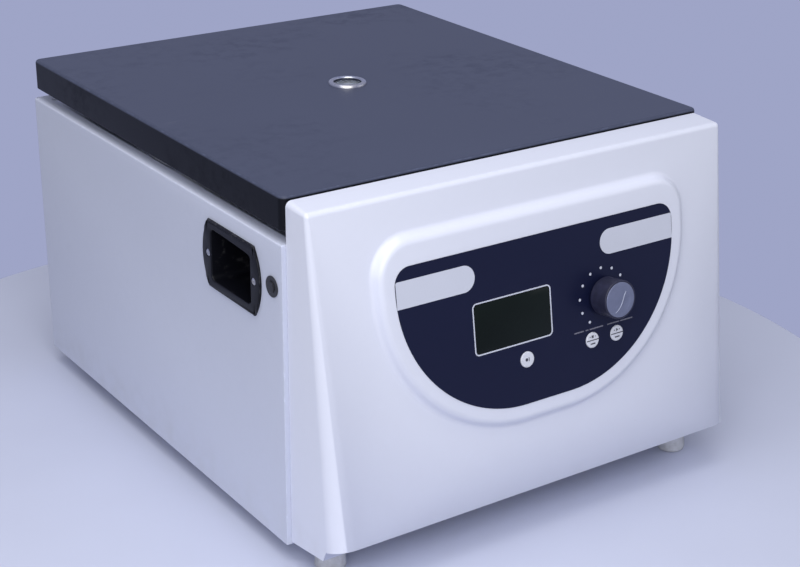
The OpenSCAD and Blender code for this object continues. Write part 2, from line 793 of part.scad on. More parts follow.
module hinge_brackets() {
  color("silver") for (x = [-hinge_x, hinge_x]) translate([x, 0, 0]) difference() {
    union() {
      translate([-hinge_w / 2, hinge_y - 29, deck_top]) cube([hinge_w, 21.8, 2 * sheet]);
      translate([-knuckle_mid / 2, hinge_y - 8, case_top]) cube([knuckle_mid, 8, sheet]);
      translate([-knuckle_mid / 2, hinge_y - 3, case_top]) cube([knuckle_mid, 3, 4]);
      translate([-knuckle_mid / 2, hinge_y, hinge_z]) rotate([0, 90, 0])
        cylinder(r = knuckle_r, h = knuckle_mid);
    }
    translate([-30, hinge_y, hinge_z]) rotate([0, 90, 0]) cylinder(r = hinge_pin_r, h = 60);
    for (dx = [-hinge_screw_dx, hinge_screw_dx]) translate([dx, hinge_screw_y, deck_top - 1])
      cylinder(r = screw_hole_r, h = 6);
  }
}

module hinge_pins() {
  color("silver") for (x = [-hinge_x, hinge_x]) translate([x - 26, hinge_y, hinge_z])
    rotate([0, 90, 0]) cylinder(r = hinge_pin_r, h = 52);
}

module lid_hinge_leaves() {
  run = (hinge_w - knuckle_mid) / 2 - 0.5;
  leaf_y = lid_back_y - lid_wall - 2;
  color("silver") for (x = [-hinge_x, hinge_x]) translate([x, 0, 0]) difference() {
    union() {
      for (s = [-hinge_w / 2, hinge_w / 2 - run]) {
        translate([s, hinge_y, hinge_z]) rotate([0, 90, 0]) cylinder(r = knuckle_r, h = run);
        translate([s, leaf_y, hinge_z]) cube([run, 2, 8]);
      }
      translate([-hinge_w / 2, leaf_y, hinge_z + 5]) cube([hinge_w, 2, lid_top - lid_wall - hinge_z - 5.5]);
    }
    translate([-30, hinge_y, hinge_z]) rotate([0, 90, 0]) cylinder(r = hinge_pin_r + 0.05, h = 60);
  }
}

module lid_shell() {
  r = 4;
  low = lid_bottom;
  module corners(inset, z) {
    for (x = [-1, 1], y = [lid_front_y + inset, lid_back_y - inset])
      translate([x * (lid_w / 2 - inset), y, z]) children();
  }
  color("slategray") difference() {
    hull() {
      corners(r, lid_top - r) sphere(r, $fn = 32);
      corners(r, low) cylinder(r = r, h = 1, $fn = 32);
    }
    translate([-lid_w / 2 + lid_wall, lid_front_y + lid_wall, low - 1])
      cube([lid_w - 2 * lid_wall, lid_d - 2 * lid_wall, lid_h - lid_wall + 1]);
    translate([view_x, axis_y, lid_top - 8]) cylinder(d = viewport_d - 4.6, h = 20);
  }
  color("slategray") for (at = lid_screw_at) translate([at[0], at[1], liner_z + liner_t]) difference() {
    cylinder(r = 5, h = lid_top - lid_wall - liner_z - liner_t + eps);
    translate([0, 0, -1]) cylinder(r = screw_hole_r, h = 14);
  }
}

module lid_liner() {
  color("gainsboro") difference() {
    union() {
      translate([-lid_w / 2 + lid_wall + 0.3, lid_front_y + lid_wall + 0.3, liner_z])
        cube([lid_w - 2 * lid_wall - 0.6, lid_d - 2 * lid_wall - 7, liner_t]);
      translate([view_x, axis_y, liner_z]) cylinder(r = 14, h = lid_top - lid_wall - liner_z - 0.2);
    }
    translate([view_x, axis_y, liner_z - 1]) cylinder(r = 11.6, h = 40);
    for (at = lid_screw_at) translate([at[0], at[1], liner_z - 1]) cylinder(r = screw_hole_r, h = 5);
    for (s = [-striker_half, striker_half]) translate([0, latch_y + s, liner_z - 1])
      cylinder(r = striker_r + 0.1, h = 5);
  }
}

module viewport_ring() {
  color("silver") translate([view_x, axis_y, lid_top]) rotate_extrude($fn = 96) polygon([
    [11.8, -0.6], [11.8, 1.4], [12.6, 2.4], [viewport_d / 2 - 1.6, 2.4], [viewport_d / 2, 1],
    [viewport_d / 2, 0],
    [viewport_d / 2 - 2.6, 0], [viewport_d / 2 - 2.6, -0.6]
  ]);
}

module viewport_lens() {
  color([0.85, 0.9, 0.95, 0.5]) translate([view_x, axis_y, lid_top - lid_wall])
    cylinder(d = viewport_d - 5, h = 2.3);
}

// Wire loop that the latch hook holds
module lid_striker() {
  color("silver") {
    for (s = [-striker_half, striker_half]) translate([0, latch_y + s, striker_z])
      cylinder(r = striker_r, h = liner_z + liner_t + 1 - striker_z);
    translate([0, latch_y - striker_half - striker_r, striker_z]) rotate([-90, 0, 0])
      cylinder(r = striker_r, h = 2 * (striker_half + striker_r));
    translate([-12, latch_y - 9, liner_z + liner_t]) cube([24, 18, 2]);
  }
}

module lid_screws() {
  color("silver") for (at = lid_screw_at) translate([at[0], at[1], liner_z]) rotate([180, 0, 0])
    cross_screw(3, 1, 1.5, 12);
}

module power_inlet() {
  color("black") on_back(inlet_at) difference() {
    union() {
      linear_extrude(1.8) round_rect(46, 27, 4);
      translate([-14, -10.6, -24]) cube([28, 21.2, 25]);
    }
    translate([-12, -8, -20]) cube([24, 16, 24]);
    for (x = [-19.5, 19.5]) translate([x, 0, -1]) cylinder(r = screw_hole_r, h = 5);
  }
  color("silver") on_back(inlet_at) for (x = [-7, 0, 7])
    translate([x - 1, x == 0 ? 1 : -3, -21]) cube([2, 4, 17]);
}

module mains_switch_body() {
  color("black") on_back(switch_at) difference() {
    union() {
      linear_extrude(1.8) round_rect(23, 30, 2);
      translate([-10, -13.5, -22]) cube([20, 27, 23]);
    }
    translate([-7.6, -11, -12]) cube([15.2, 22, 20]);
    translate([-12, 0, -rocker_depth]) rotate([0, 90, 0]) cylinder(r = 1.6, h = 24);
  }
}

// Rocker with its cross pin, rocking about X
module mains_rocker() {
  color("firebrick") on_back(switch_at) translate([0, 0, -rocker_depth]) rotate([rocker_rest, 0, 0]) {
    translate([-7.2, 0, 0]) rotate([0, 90, 0]) linear_extrude(14.4) polygon([
      [3, -9.5], [-4.2, -9.5], [-2.9, 0], [-4.2, 9.5], [3, 9.5], [5, 0]
    ]);
    translate([-9, 0, 0]) rotate([0, 90, 0]) cylinder(r = 1.55, h = 18);
  }
}

module fuse_holder() {
  color("black") on_back(fuse_at) {
    cylinder(r = 8, h = 1.4);
    translate([0, 0, -26]) cylinder(r = 6, h = 27);
    difference() {
      translate([0, 0, 1.3]) cylinder(r = 6.2, h = 0.5);
      translate([-5, -0.7, 1.4]) cube([10, 1.4, 2]);
    }
  }
}

module drive_board() {
  color("seagreen") translate([board_x, board_y, 24]) cube([board_w, board_t, 66]);
  color("darkblue") for (x = [-170, -140, -110]) translate([x, board_y + 0.1, 58])
    rotate([90, 0, 0]) cylinder(r = 11, h = 30);
  color("dimgray") translate([-90, board_y - 20, 36]) cube([40, 20.1, 44]);
}

module heat_sink() {
  color("silver") {
    translate([board_x, board_y + board_t, pan_top]) cube([board_w, 4, fin_h]);
    for (x = [board_x + 2:12:board_x + board_w - 2]) translate([x, board_y + board_t + 3.9, pan_top])
      cube([2, 14, fin_h]);
  }
}

// Pan-head screws of the fascia and the hinge brackets
module cabinet_screws() {
  color("silver") {
    for (s = [-1, 1], z = fascia_screw_z) translate([s * fascia_screw_x, joint_y + 0.2 + sheet, z])
      rotate([-90, 0, 0]) cross_screw(2.8, 1.6, 1.5, 6);
    for (x = [-hinge_x, hinge_x], dx = [-hinge_screw_dx, hinge_screw_dx])
      translate([x + dx, hinge_screw_y, case_top + sheet])
      cross_screw(2.8, 1.6, 1.5, 6);
  }
}

base_pan();
casing_shell();
top_deck();
fascia();
control_overlay();
display_window();
lcd_module();
control_board();
tact_switches();
encoder_body();
encoder_nut();
handle_cup_left();
handle_cup_right();
handle_screws();
rubber_feet();
foot_screws();
chamber_bowl();
chamber_gasket();
shaft_boot();
motor_housing();
stator_core();
motor_bearings();
motor_plate();
motor_dampers();
latch_bracket();
latch_pin();
lock_solenoid();
release_sleeve();
hinge_brackets();
hinge_pins();
power_inlet();
mains_switch_body();
fuse_holder();
drive_board();
heat_sink();
cabinet_screws();
lid_shell();
lid_liner();
viewport_ring();
viewport_lens();
lid_striker();
lid_hinge_leaves();
lid_screws();
drive_shaft();
motor_magnet();
rotor_head();
tube_sleeves();
sleeve_cushions();
rotor_nut();
encoder_slider();
encoder_shaft();
control_knob();
knob_cap();
display_button();
stop_button();
start_button();
mains_rocker();
latch_hook();
solenoid_plunger();
release_pull();
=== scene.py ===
"""A bench centrifuge for butterfat tubes: its finished pieces, materials, light and camera."""

import json
import math

import bmesh
import bpy
from mathutils import Matrix, Quaternion, Vector

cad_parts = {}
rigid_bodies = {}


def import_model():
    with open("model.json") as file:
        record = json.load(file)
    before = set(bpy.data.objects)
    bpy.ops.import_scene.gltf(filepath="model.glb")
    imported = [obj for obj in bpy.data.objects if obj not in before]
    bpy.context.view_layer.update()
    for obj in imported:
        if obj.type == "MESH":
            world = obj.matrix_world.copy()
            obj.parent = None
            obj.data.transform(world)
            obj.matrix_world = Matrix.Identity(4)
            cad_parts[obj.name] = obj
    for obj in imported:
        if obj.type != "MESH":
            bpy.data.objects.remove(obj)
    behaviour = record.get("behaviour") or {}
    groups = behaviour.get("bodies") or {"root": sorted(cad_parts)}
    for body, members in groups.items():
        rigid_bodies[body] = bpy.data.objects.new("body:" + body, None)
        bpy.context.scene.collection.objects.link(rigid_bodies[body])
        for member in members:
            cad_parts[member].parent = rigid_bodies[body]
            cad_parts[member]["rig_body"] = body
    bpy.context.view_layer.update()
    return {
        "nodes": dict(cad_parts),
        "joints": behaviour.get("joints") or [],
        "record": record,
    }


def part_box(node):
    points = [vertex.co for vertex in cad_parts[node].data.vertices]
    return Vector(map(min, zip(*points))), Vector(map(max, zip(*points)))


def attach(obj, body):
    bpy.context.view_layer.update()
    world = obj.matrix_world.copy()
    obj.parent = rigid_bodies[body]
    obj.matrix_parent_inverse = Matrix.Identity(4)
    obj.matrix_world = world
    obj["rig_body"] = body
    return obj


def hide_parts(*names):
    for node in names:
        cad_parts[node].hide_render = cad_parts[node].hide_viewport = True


bl_info = {
    "name": "Butterfat Centrifuge",
    "version": (1, 0, 0),
    "blender": (4, 5, 0),
    "location": "3D View > Sidebar > Centrifuge",
    "description": "Builds the finished pieces of a bench centrifuge around its packed model",
    "category": "Object",
}

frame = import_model()

MM = 0.001
UP, DOWN, FRONT = Vector((0, 0, 1)), Vector((0, 0, -1)), Vector((0, -1, 0))


def mm(*values):
    """Millimetres as metres."""
    return tuple(value * MM for value in values)


def joint(name):
    """The packed joint with that name."""
    return next(j for j in frame["joints"] if j["name"] == name)


# Places that the packed model gives
CASE_LOW, CASE_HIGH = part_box("casing_shell")
LID_LOW, LID_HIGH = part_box("lid_shell")
FASCIA_LOW, FASCIA_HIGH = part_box("fascia")
FASCIA_TILT = math.radians(8.9)
UP_PANEL = Vector((0, math.sin(FASCIA_TILT), math.cos(FASCIA_TILT)))
OUT_OF_PANEL = Vector((0, -math.cos(FASCIA_TILT), math.sin(FASCIA_TILT)))
KNOB_AT = mm(58.5, 4.2)
PANEL_ORIGIN = Vector(joint("knob_turn")["pos_m"]) - Vector((KNOB_AT[0], 0, 0)) - UP_PANEL * KNOB_AT[1]
PANEL = Matrix.Translation(PANEL_ORIGIN) @ Matrix(
    [(1, 0, 0, 0), (0, UP_PANEL.y, OUT_OF_PANEL.y, 0), (0, UP_PANEL.z, OUT_OF_PANEL.z, 0), (0, 0, 0, 1)]
)
AXIS = Vector(joint("rotor_spin")["pos_m"])
WINDOW_AT = mm(-30.1, 4)
BUTTONS_AT = {
    "display_button": mm(-19.2, -30.2),
    "stop_button": mm(45.9, -30.2),
    "start_button": mm(71, -30.2),
}
PRINT_LOW, PRINT_TOP = mm(-0.1, 0.08)
MARK = 0.06
BUTTON_HOLE = 6.6 * MM


# Sizes and colours that a user would change


def length_property(name, description, default):
    return bpy.props.FloatProperty(name=name, description=description, default=default, unit="LENGTH")


def colour_property(name, description, default):
    return bpy.props.FloatVectorProperty(
        name=name, description=description, subtype="COLOR", size=3, default=default, min=0, max=1,
    )


class CabinetLook(bpy.types.PropertyGroup):
    """Casing and lid."""

    bend: length_property("Sheet bend", "Outer radius of the casing's bends", 1.6 * MM)
    corner: length_property("Back corners", "Radius of the casing's back corners", 5 * MM)
    sheet: length_property("Sheet", "Thickness of the casing's sheet", 1.5 * MM)
    lid_round: length_property("Lid edge", "Radius of the lid's top edges", 2.6 * MM)
    casing_colour: colour_property("Casing colour", "Powder coat of the casing", (0.50, 0.53, 0.66))
    lid_colour: colour_property("Lid colour", "Moulded lid", (0.052, 0.060, 0.100))


class FasciaLook(bpy.types.PropertyGroup):
    """Moulded front and its panel platform."""

    toe_round: length_property("Toe radius", "Radius of the creases at their lower end", 17.5 * MM)
    brow_round: length_property("Brow radius", "Radius of the fascia's top edge", 3.5 * MM)
    stand_out: length_property("Platform height", "How far the platform stands out", 7.4 * MM)
    edge_round: length_property("Platform edge", "Radius of the platform's edge", 6.5 * MM)
    foot_round: length_property("Platform fillet", "Radius where the platform meets the front", 5 * MM)
    colour: colour_property("Fascia colour", "Moulded front", (0.64, 0.665, 0.79))


class PanelLook(bpy.types.PropertyGroup):
    """Overlay, display, buttons and knob."""

    film_colour: colour_property("Film colour", "Printed overlay", (0.0060, 0.0080, 0.0290))
    print_colour: colour_property("Print colour", "Pale print on the overlay", (0.53, 0.555, 0.67))
    knob_radius: length_property("Knob radius", "Radius of the control knob", 15.5 * MM)
    button_radius: length_property("Button radius", "Radius of a push button", 6.3 * MM)
    dots: bpy.props.IntProperty(
        name="Dial dots", description="Dots round the knob", default=11, min=2, max=24
    )


class StageLook(bpy.types.PropertyGroup):
    """Table, background and lamps."""

    table_colour: colour_property("Table colour", "Round table top", (0.52, 0.55, 0.70))
    wall_colour: colour_property("Wall colour", "Background behind the table", (0.345, 0.375, 0.570))
    lamp_power: bpy.props.FloatProperty(
        name="Key lamp", description="Power of the main soft lamp", default=17.5, unit="POWER"
    )


GROUPS = {
    "centrifuge_cabinet": CabinetLook,
    "centrifuge_fascia": FasciaLook,
    "centrifuge_panel": PanelLook,
    "centrifuge_stage": StageLook,
}


def look(name):
    """The property group with that name, on the scene."""
    return getattr(bpy.context.scene, "centrifuge_" + name)


# Modelling helpers


def deselect():
    """Leaves edit mode and selects nothing."""
    if bpy.context.object and bpy.context.object.mode != "OBJECT":
        bpy.ops.object.mode_set(mode="OBJECT")
    bpy.ops.object.select_all(action="DESELECT")


def activate(piece):
    """Selects one piece alone and makes it active."""
    deselect()
    piece.select_set(True)
    bpy.context.view_layer.objects.active = piece


def primitive(kind, name, **settings):
    """Adds one of Blender's mesh primitives under a name."""
    deselect()
    getattr(bpy.ops.mesh, f"primitive_{kind}_add")(**settings)
    piece = bpy.context.object
    piece.name = name
    return piece


def settle(piece, place=None):
    """Puts a piece at a place, if given, and moves the place into its mesh."""
    if place is not None:
        piece.matrix_world = place
    activate(piece)
    bpy.ops.object.transform_apply(location=True, rotation=True, scale=True)
    return piece


def shift(piece, x, y, z=0):
    """Moves a piece's mesh."""
    return settle(piece, Matrix.Translation((x, y, z)))


def block(name, low, high):
    """A cube fitted between two corners."""
    piece = primitive("cube", name, size=1)
    piece.scale = Vector(high) - Vector(low)
    piece.location = (Vector(low) + Vector(high)) / 2
    return settle(piece)


def disc(name, at, radius, depth, vertices=64, axis="Z"):
    """A cylinder whose base is centred at a place, along an axis."""
    piece = primitive("cylinder", name, vertices=vertices, radius=radius, depth=depth)
    turn = {
        "Z": Matrix(), "X": Matrix.Rotation(math.pi / 2, 4, "Y"), "Y": Matrix.Rotation(-math.pi / 2, 4, "X"),
    }[axis]
    return settle(piece, Matrix.Translation(at) @ turn @ Matrix.Translation((0, 0, depth / 2)))


class Editing:
    """Edit mode on one piece, in which parts of the mesh are picked by a test on their place."""

    def __init__(self, piece):
        self.piece = piece

    def __enter__(self):
        activate(self.piece)
        bpy.ops.object.mode_set(mode="EDIT")
        bpy.ops.mesh.select_all(action="DESELECT")
        return self

    def __exit__(self, *_):
        bpy.ops.object.mode_set(mode="OBJECT")

    def mesh(self):
        return bmesh.from_edit_mesh(self.piece.data)

    def _pick(self, mode, parts, passes):
        bpy.ops.mesh.select_mode(type=mode)
        bpy.ops.mesh.select_all(action="DESELECT")
        picked = [part for part in parts if passes(part)]
        if not picked:
            raise RuntimeError(f"{self.piece.name}: nothing was picked")
        for part in picked:
            part.select_set(True)
        self.mesh().select_flush_mode()
        bmesh.update_edit_mesh(self.piece.data)

    def verts(self, test):
        self._pick("VERT", self.mesh().verts, lambda v: test(v.co))

    def edges(self, test):
        self._pick("EDGE", self.mesh().edges, lambda e: test(e.verts[0].co, e.verts[1].co))

    def faces(self, test):
        self._pick("FACE", self.mesh().faces, lambda f: test(f.calc_center_median(), f.normal))

    def facing(self, direction):
        self.faces(lambda at, normal: normal.dot(direction) > 0.999)

    def all(self):
        bpy.ops.mesh.select_all(action="SELECT")


def near(a, b, by=1e-5):
    return abs(a - b) < by


def middle(box):
    """Middle between two corners."""
    return (box[0] + box[1]) / 2


def modify(piece, kind, **settings):
    """Adds a modifier with its settings and applies it."""
    activate(piece)
    modifier = piece.modifiers.new(kind.title(), kind)
    for key, value in settings.items():
        setattr(modifier, key, value)
    bpy.ops.object.modifier_apply(modifier=modifier.name)
    return piece


def join(name, pieces):
    """Joins several pieces into one mesh."""
    deselect()
    for piece in pieces:
        piece.select_set(True)
    bpy.context.view_layer.objects.active = pieces[0]
    bpy.ops.object.join()
    pieces[0].name = name
    return pieces[0]


def cut(piece, cutters):
    """Takes the cutters' shape out of a piece."""
    tool = join("cutter", cutters)
    modify(piece, "BOOLEAN", operation="DIFFERENCE", solver="EXACT", object=tool, use_self=True)
    bpy.data.objects.remove(tool)
    return piece


def soften(piece, width):
    """Breaks the sharp edges of a piece."""
    return modify(
        piece, "BEVEL", width=width, segments=2, limit_method="ANGLE", angle_limit=math.radians(35),
        use_clamp_overlap=True, miter_outer="MITER_SHARP",
    )


def smooth(piece, angle=35):
    """Smooth shading, with creases where faces meet at more than the angle."""
    activate(piece)
    bpy.ops.object.shade_smooth_by_angle(angle=math.radians(angle))
    return piece


def even_out(piece):
    """Shades large flat faces flat, so that their softened edges alone catch the light."""
    return modify(piece, "WEIGHTED_NORMAL", keep_sharp=True, weight=100)


def outline(name, low, high, radii, segments=24):
    """A flat rectangle whose corners are rounded: radii is a dict from corner signs to radius."""
    piece = primitive("plane", name, size=1)
    piece.scale = (high[0] - low[0], high[1] - low[1], 1)
    piece.location = ((low[0] + high[0]) / 2, (low[1] + high[1]) / 2, 0)
    settle(piece)
    with Editing(piece) as edit:
        for (sx, sy), radius in radii.items():
            corner = Vector((high[0] if sx > 0 else low[0], high[1] if sy > 0 else low[1], 0))
            edit.verts(lambda co: (co - corner).length < 1e-6)
            bpy.ops.mesh.bevel(offset=radius, segments=segments, affect="VERTICES", clamp_overlap=False)
    return piece


def all_corners(radius):
    return {(sx, sy): radius for sx in (-1, 1) for sy in (-1, 1)}


def panel_corners(lower, upper):
    """Corner radii of the bowl-shaped panel: wide below, small above."""
    return {(sx, sy): lower if sy < 0 else upper for sy in (-1, 1) for sx in (-1, 1)}


def thicken(piece, low, high):
    """Turns a flat outline into a slab between two heights, closed all round."""
    with Editing(piece) as edit:
        edit.all()
        bpy.ops.transform.translate(value=(0, 0, low))
        pull((0, 0, high - low))
        edit.all()
        bpy.ops.mesh.normals_make_consistent(inside=False)
    return piece


def pull(move):
    """Extrudes what is picked along a move."""
    bpy.ops.mesh.extrude_region_move(TRANSFORM_OT_translate={"value": move})


def climb(steps):
    """Insets the picked face step by step, each inwards and up."""
    for inwards, up in steps:
        bpy.ops.mesh.inset(thickness=inwards, depth=up, use_even_offset=True)


def merged_copy(node, name):
    """A copy of a packed node as one clean mesh, ready to be edited."""
    source = frame["nodes"][node]
    copy = bpy.data.objects.new(name, source.data.copy())
    bpy.context.scene.collection.objects.link(copy)
    with Editing(copy) as edit:
        edit.all()
        bpy.ops.mesh.remove_doubles(threshold=2e-6)
        bpy.ops.mesh.dissolve_limited(angle_limit=math.radians(0.4))
    activate(copy)
    if copy.data.has_custom_normals:
        bpy.ops.mesh.customdata_custom_splitnormals_clear()
    return copy


def done(piece, body, slot, stands_for=(), finish=None, angle=35):
    """Last steps of every piece: shading, a material (the slot's, unless a finish is given), its body, and
    hiding the nodes that it stands for.
    """
    smooth(piece, angle)
    piece.data.materials.clear()
    piece.data.materials.append(finish or FINISHES[slot]())
    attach(piece, body)
    if stands_for:
        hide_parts(*stands_for)
    deselect()
    return piece


# Shader maths


class Value:
    """A number inside a material, so that its maths reads as plain Python."""

    def __init__(self, finish, socket):
        self.finish = finish
        self.socket = socket

    def _with(self, operation, *others):
        return self.finish.maths(operation, self, *others)

    def __add__(self, other):
        return self._with("ADD", other)

    __radd__ = __add__

    def __mul__(self, other):
        return self._with("MULTIPLY", other)

    __rmul__ = __mul__

    def __sub__(self, other):
        return self._with("SUBTRACT", other)

    def __rsub__(self, other):
        return self.finish.maths("SUBTRACT", other, self)

    def __abs__(self):
        return self._with("ABSOLUTE")

    def least(self, other):
        return self._with("MINIMUM", other)

    def most(self, other):
        return self._with("MAXIMUM", other)

    def root(self):
        return self._with("SQRT")

    def sine(self):
        return self._with("SINE")

    def ramp(self, start, end):
        """0 up to start, 1 from end on, and a soft step between them."""
        made = self.finish.node(
            "ShaderNodeMapRange", {"interpolation_type": "SMOOTHSTEP", "clamp": True},
            {"Value": self, "From Min": start, "From Max": end, "To Min": 0.0, "To Max": 1.0},
        )
        return Value(self.finish, made.outputs["Result"])


class Graph:
    """A node tree that is filled through one method."""

    def __init__(self, tree):
        self.tree = tree
        tree.nodes.clear()

    def node(self, kind, settings, inputs):
        """Adds a node, sets it up, then fills or links its inputs."""
        made = self.tree.nodes.new(kind)
        for key, value in settings.items():
            setattr(made, key, value)
        for key, value in inputs.items():
            self.feed(made.inputs[key], value)
        return made

    def feed(self, socket, value):
        """Links a value's socket, or sets a constant."""
        if isinstance(value, Value):
            value = value.socket
        if isinstance(value, bpy.types.NodeSocket):
            self.tree.links.new(value, socket)
        else:
            socket.default_value = value

    def maths(self, operation, *values):
        made = self.node("ShaderNodeMath", {"operation": operation}, dict(enumerate(values)))
        return Value(self, made.outputs[0])


class Finish(Graph):
    """One material, built from the object coordinates of the piece."""

    def __init__(self, name, colour, roughness, metallic=0.0, specular=0.5, coat=(0.0, 0.03), **constants):
        self.material = bpy.data.materials.new(name)
        self.material.use_nodes = True
        super().__init__(self.material.node_tree)
        self.shader = self.node("ShaderNodeBsdfPrincipled", {}, {
            "Base Color": (*colour, 1), "Roughness": roughness, "Metallic": metallic,
            "Specular IOR Level": specular, "Coat Weight": coat[0], "Coat Roughness": coat[1], **constants,
        })
        self.node("ShaderNodeOutputMaterial", {}, {"Surface": self.shader.outputs["BSDF"]})
        self.place = self.node("ShaderNodeTexCoord", {}, {}).outputs["Object"]
        split = self.node("ShaderNodeSeparateXYZ", {}, {"Vector": self.place})
        self.x, self.y, self.z = (Value(self, split.outputs[axis]) for axis in "XYZ")
        self.colour = tuple(colour)

    def shade(self, by):
        """The finish's colour, made lighter or darker by a factor."""
        return tuple(min(1.0, part * by) for part in self.colour)

    def vary(self, factor, dark, pale):
        """The finish's colour, wandering between two shades of it."""
        return self.blend(factor, self.shade(dark), self.shade(pale))

    def noise(self, scale, detail=2.0, stretch=(1, 1, 1), roughness=0.5, at=None):
        """Noise at a scale per metre, drawn out along the axes."""
        vector = self.place if at is None else at
        if stretch != (1, 1, 1):
            mapping = self.node("ShaderNodeMapping", {}, {"Vector": vector, "Scale": stretch})
            vector = mapping.outputs["Vector"]
        made = self.node("ShaderNodeTexNoise", {}, {
            "Vector": vector, "Scale": scale, "Detail": detail, "Roughness": roughness,
        })
        return Value(self, made.outputs["Fac"])

    def join_xyz(self, x, y, z):
        return self.node("ShaderNodeCombineXYZ", {}, {"X": x, "Y": y, "Z": z}).outputs["Vector"]

    def cells(self, scale):
        """Distance to the nearest of scattered points, at a scale per metre."""
        made = self.node("ShaderNodeTexVoronoi", {"feature": "F1"}, {"Vector": self.place, "Scale": scale})
        return Value(self, made.outputs["Distance"])

    def blend(self, factor, first, second):
        """A colour between two, as a Mix node."""
        made = self.node("ShaderNodeMix", {"data_type": "RGBA"}, {"Factor": factor})
        for socket, value in ((made.inputs[6], first), (made.inputs[7], second)):
            self.feed(socket, (*value, 1) if isinstance(value, tuple) and len(value) == 3 else value)
        return made.outputs[2]

    def edge(self, low, high, width):
        """1 on the edges of a box, fading to 0 at a width from them."""
        gaps = []
        for value, a, b in zip((self.x, self.y, self.z), low, high):
            gaps.append((b - a) / 2 - abs(value - (a + b) / 2))
        first = gaps[0].least(gaps[1])
        second = gaps[0].most(gaps[1])
        middle = first.most(second.least(gaps[2]))
        return 1 - middle.ramp(0.0, width)

    def around(self, axis):
        """Distance from a vertical axis."""
        across = self.x - axis.x
        along = self.y - axis.y
        return (across * across + along * along).root()

    def bump(self, height, strength, distance):
        """A bump that feeds the shader's normal."""
        inputs = {"Height": height, "Strength": strength, "Distance": distance}
        return self.node("ShaderNodeBump", {}, inputs).outputs["Normal"]

    def set(self, colour, roughness, normal=None):
        """Feeds what changes over the surface into the shader."""
        self.feed(self.shader.inputs["Base Color"], colour)
        self.feed(self.shader.inputs["Roughness"], roughness)
        if normal is not None:
            self.feed(self.shader.inputs["Normal"], normal)
        return self.material


def tone(colour, towards, by):
    """A colour drawn towards another."""
    return tuple(a + (b - a) * by for a, b in zip(colour, towards))


DUST = (0.42, 0.42, 0.44)


def smudges(finish, amount):
    """Faint hand marks, as a change of roughness."""
    wide = finish.noise(9, 3).ramp(0.45, 0.70)
    fine = finish.noise(70, 4, roughness=0.6).ramp(0.4, 0.7)
    return wide * fine * amount


def coated_sheet(name, colour, low, high):
    """Powder coat over sheet steel: orange peel, faint mottling, rubbed edges and dust low down."""
    f = Finish(name, colour, 0.42, specular=0.42, coat=(0.08, 0.3))
    mottle = f.noise(5, 3) * 0.6 + f.noise(260, 2) * 0.4
    rubbed = f.edge(low, high, 2.2 * MM) * f.noise(110, 4, roughness=0.7).ramp(0.52, 0.66)
    dust = (1 - f.z.ramp(low[2], low[2] + 0.05)) * f.noise(40, 5).ramp(0.35, 0.75)
    base = f.vary(mottle, 0.965, 1.03)
    base = f.blend(rubbed * 0.55, base, f.shade(1.22))
    base = f.blend(dust * 0.22, base, DUST)
    peel = f.noise(520, 2) * 0.7 + f.noise(1500, 1) * 0.3
    rough = 0.40 + smudges(f, 0.16) + rubbed * -0.1 + dust * 0.15
    return f.set(base, rough, f.bump(peel, 0.16, 0.25 * MM))


def casing_coat():
    return coated_sheet("casing_powder_coat", tuple(look("cabinet").casing_colour), CASE_LOW, CASE_HIGH)


def fascia_moulding():
    """Moulded white plastic: spark grain, soft sheen, faint handling marks and tiny scuffs."""
    f = Finish("fascia_moulding", tuple(look("fascia").colour), 0.36, specular=0.45, coat=(0.12, 0.22))
    mottle = f.noise(4, 3) * 0.7 + f.noise(180, 2) * 0.3
    rubbed = f.edge(FASCIA_LOW, FASCIA_HIGH, 6 * MM) * f.noise(90, 4, roughness=0.7).ramp(0.55, 0.7)
    scuff = f.noise(30, 5, stretch=(1, 1, 7), roughness=0.7).ramp(0.70, 0.76) * f.noise(3, 2).ramp(0.5, 0.6)
    dust = (1 - f.z.ramp(0.02, 0.06)) * f.noise(45, 5).ramp(0.4, 0.75)
    base = f.vary(mottle, 0.972, 1.025)
    base = f.blend(rubbed * 0.3, base, f.shade(1.12))
    base = f.blend(scuff * 0.25 + dust * 0.18, base, DUST)
    grain = f.noise(2400, 2) * 0.6 + f.noise(600, 2) * 0.4
    rough = 0.34 + smudges(f, 0.15) + scuff * 0.2 + dust * 0.15
    return f.set(base, rough, f.bump(grain, 0.10, 0.12 * MM))


def lid_moulding():
    """Dark textured lid: pebble grain, dust specks, hair scratches, paler rubbed edges, and its sides below
    the top edge darkened as painted shade.
    """
    f = Finish("lid_moulding", tuple(look("cabinet").lid_colour), 0.40, specular=0.16)
    mottle = f.noise(7, 4) * 0.5 + f.noise(900, 2) * 0.5
    rubbed = f.edge(LID_LOW, LID_HIGH, 1.6 * MM) * f.noise(130, 4, roughness=0.7).ramp(0.46, 0.64)
    hair = f.noise(14, 3, stretch=(1, 24, 1), roughness=0.6).ramp(0.71, 0.735) * f.noise(4, 2).ramp(0.5, 0.62)
    speck = (1 - f.cells(85).ramp(0.035, 0.06)) * f.noise(5, 2).ramp(0.45, 0.65)
    base = f.vary(mottle, 0.86, 1.16)
    # Painted shade: the sides below the top edge are darkened, as they are lit less than the top.
    shaded_skirt = 1 - f.z.ramp(LID_HIGH.z - 2.6 * MM, LID_HIGH.z - 1.2 * MM)
    base = f.blend(shaded_skirt, base, f.shade(0.06))
    base = f.blend(rubbed * (1 - shaded_skirt) * 0.5, base, f.shade(3.0))
    base = f.blend(hair * 0.35 + speck * 0.22, base, DUST)
    pebble = f.cells(1500) * 0.5 + f.noise(2600, 2) * 0.5
    rough = 0.37 + smudges(f, 0.14) + mottle * 0.06 - rubbed * 0.06
    return f.set(base, rough, f.bump(pebble, 0.14, 0.12 * MM))


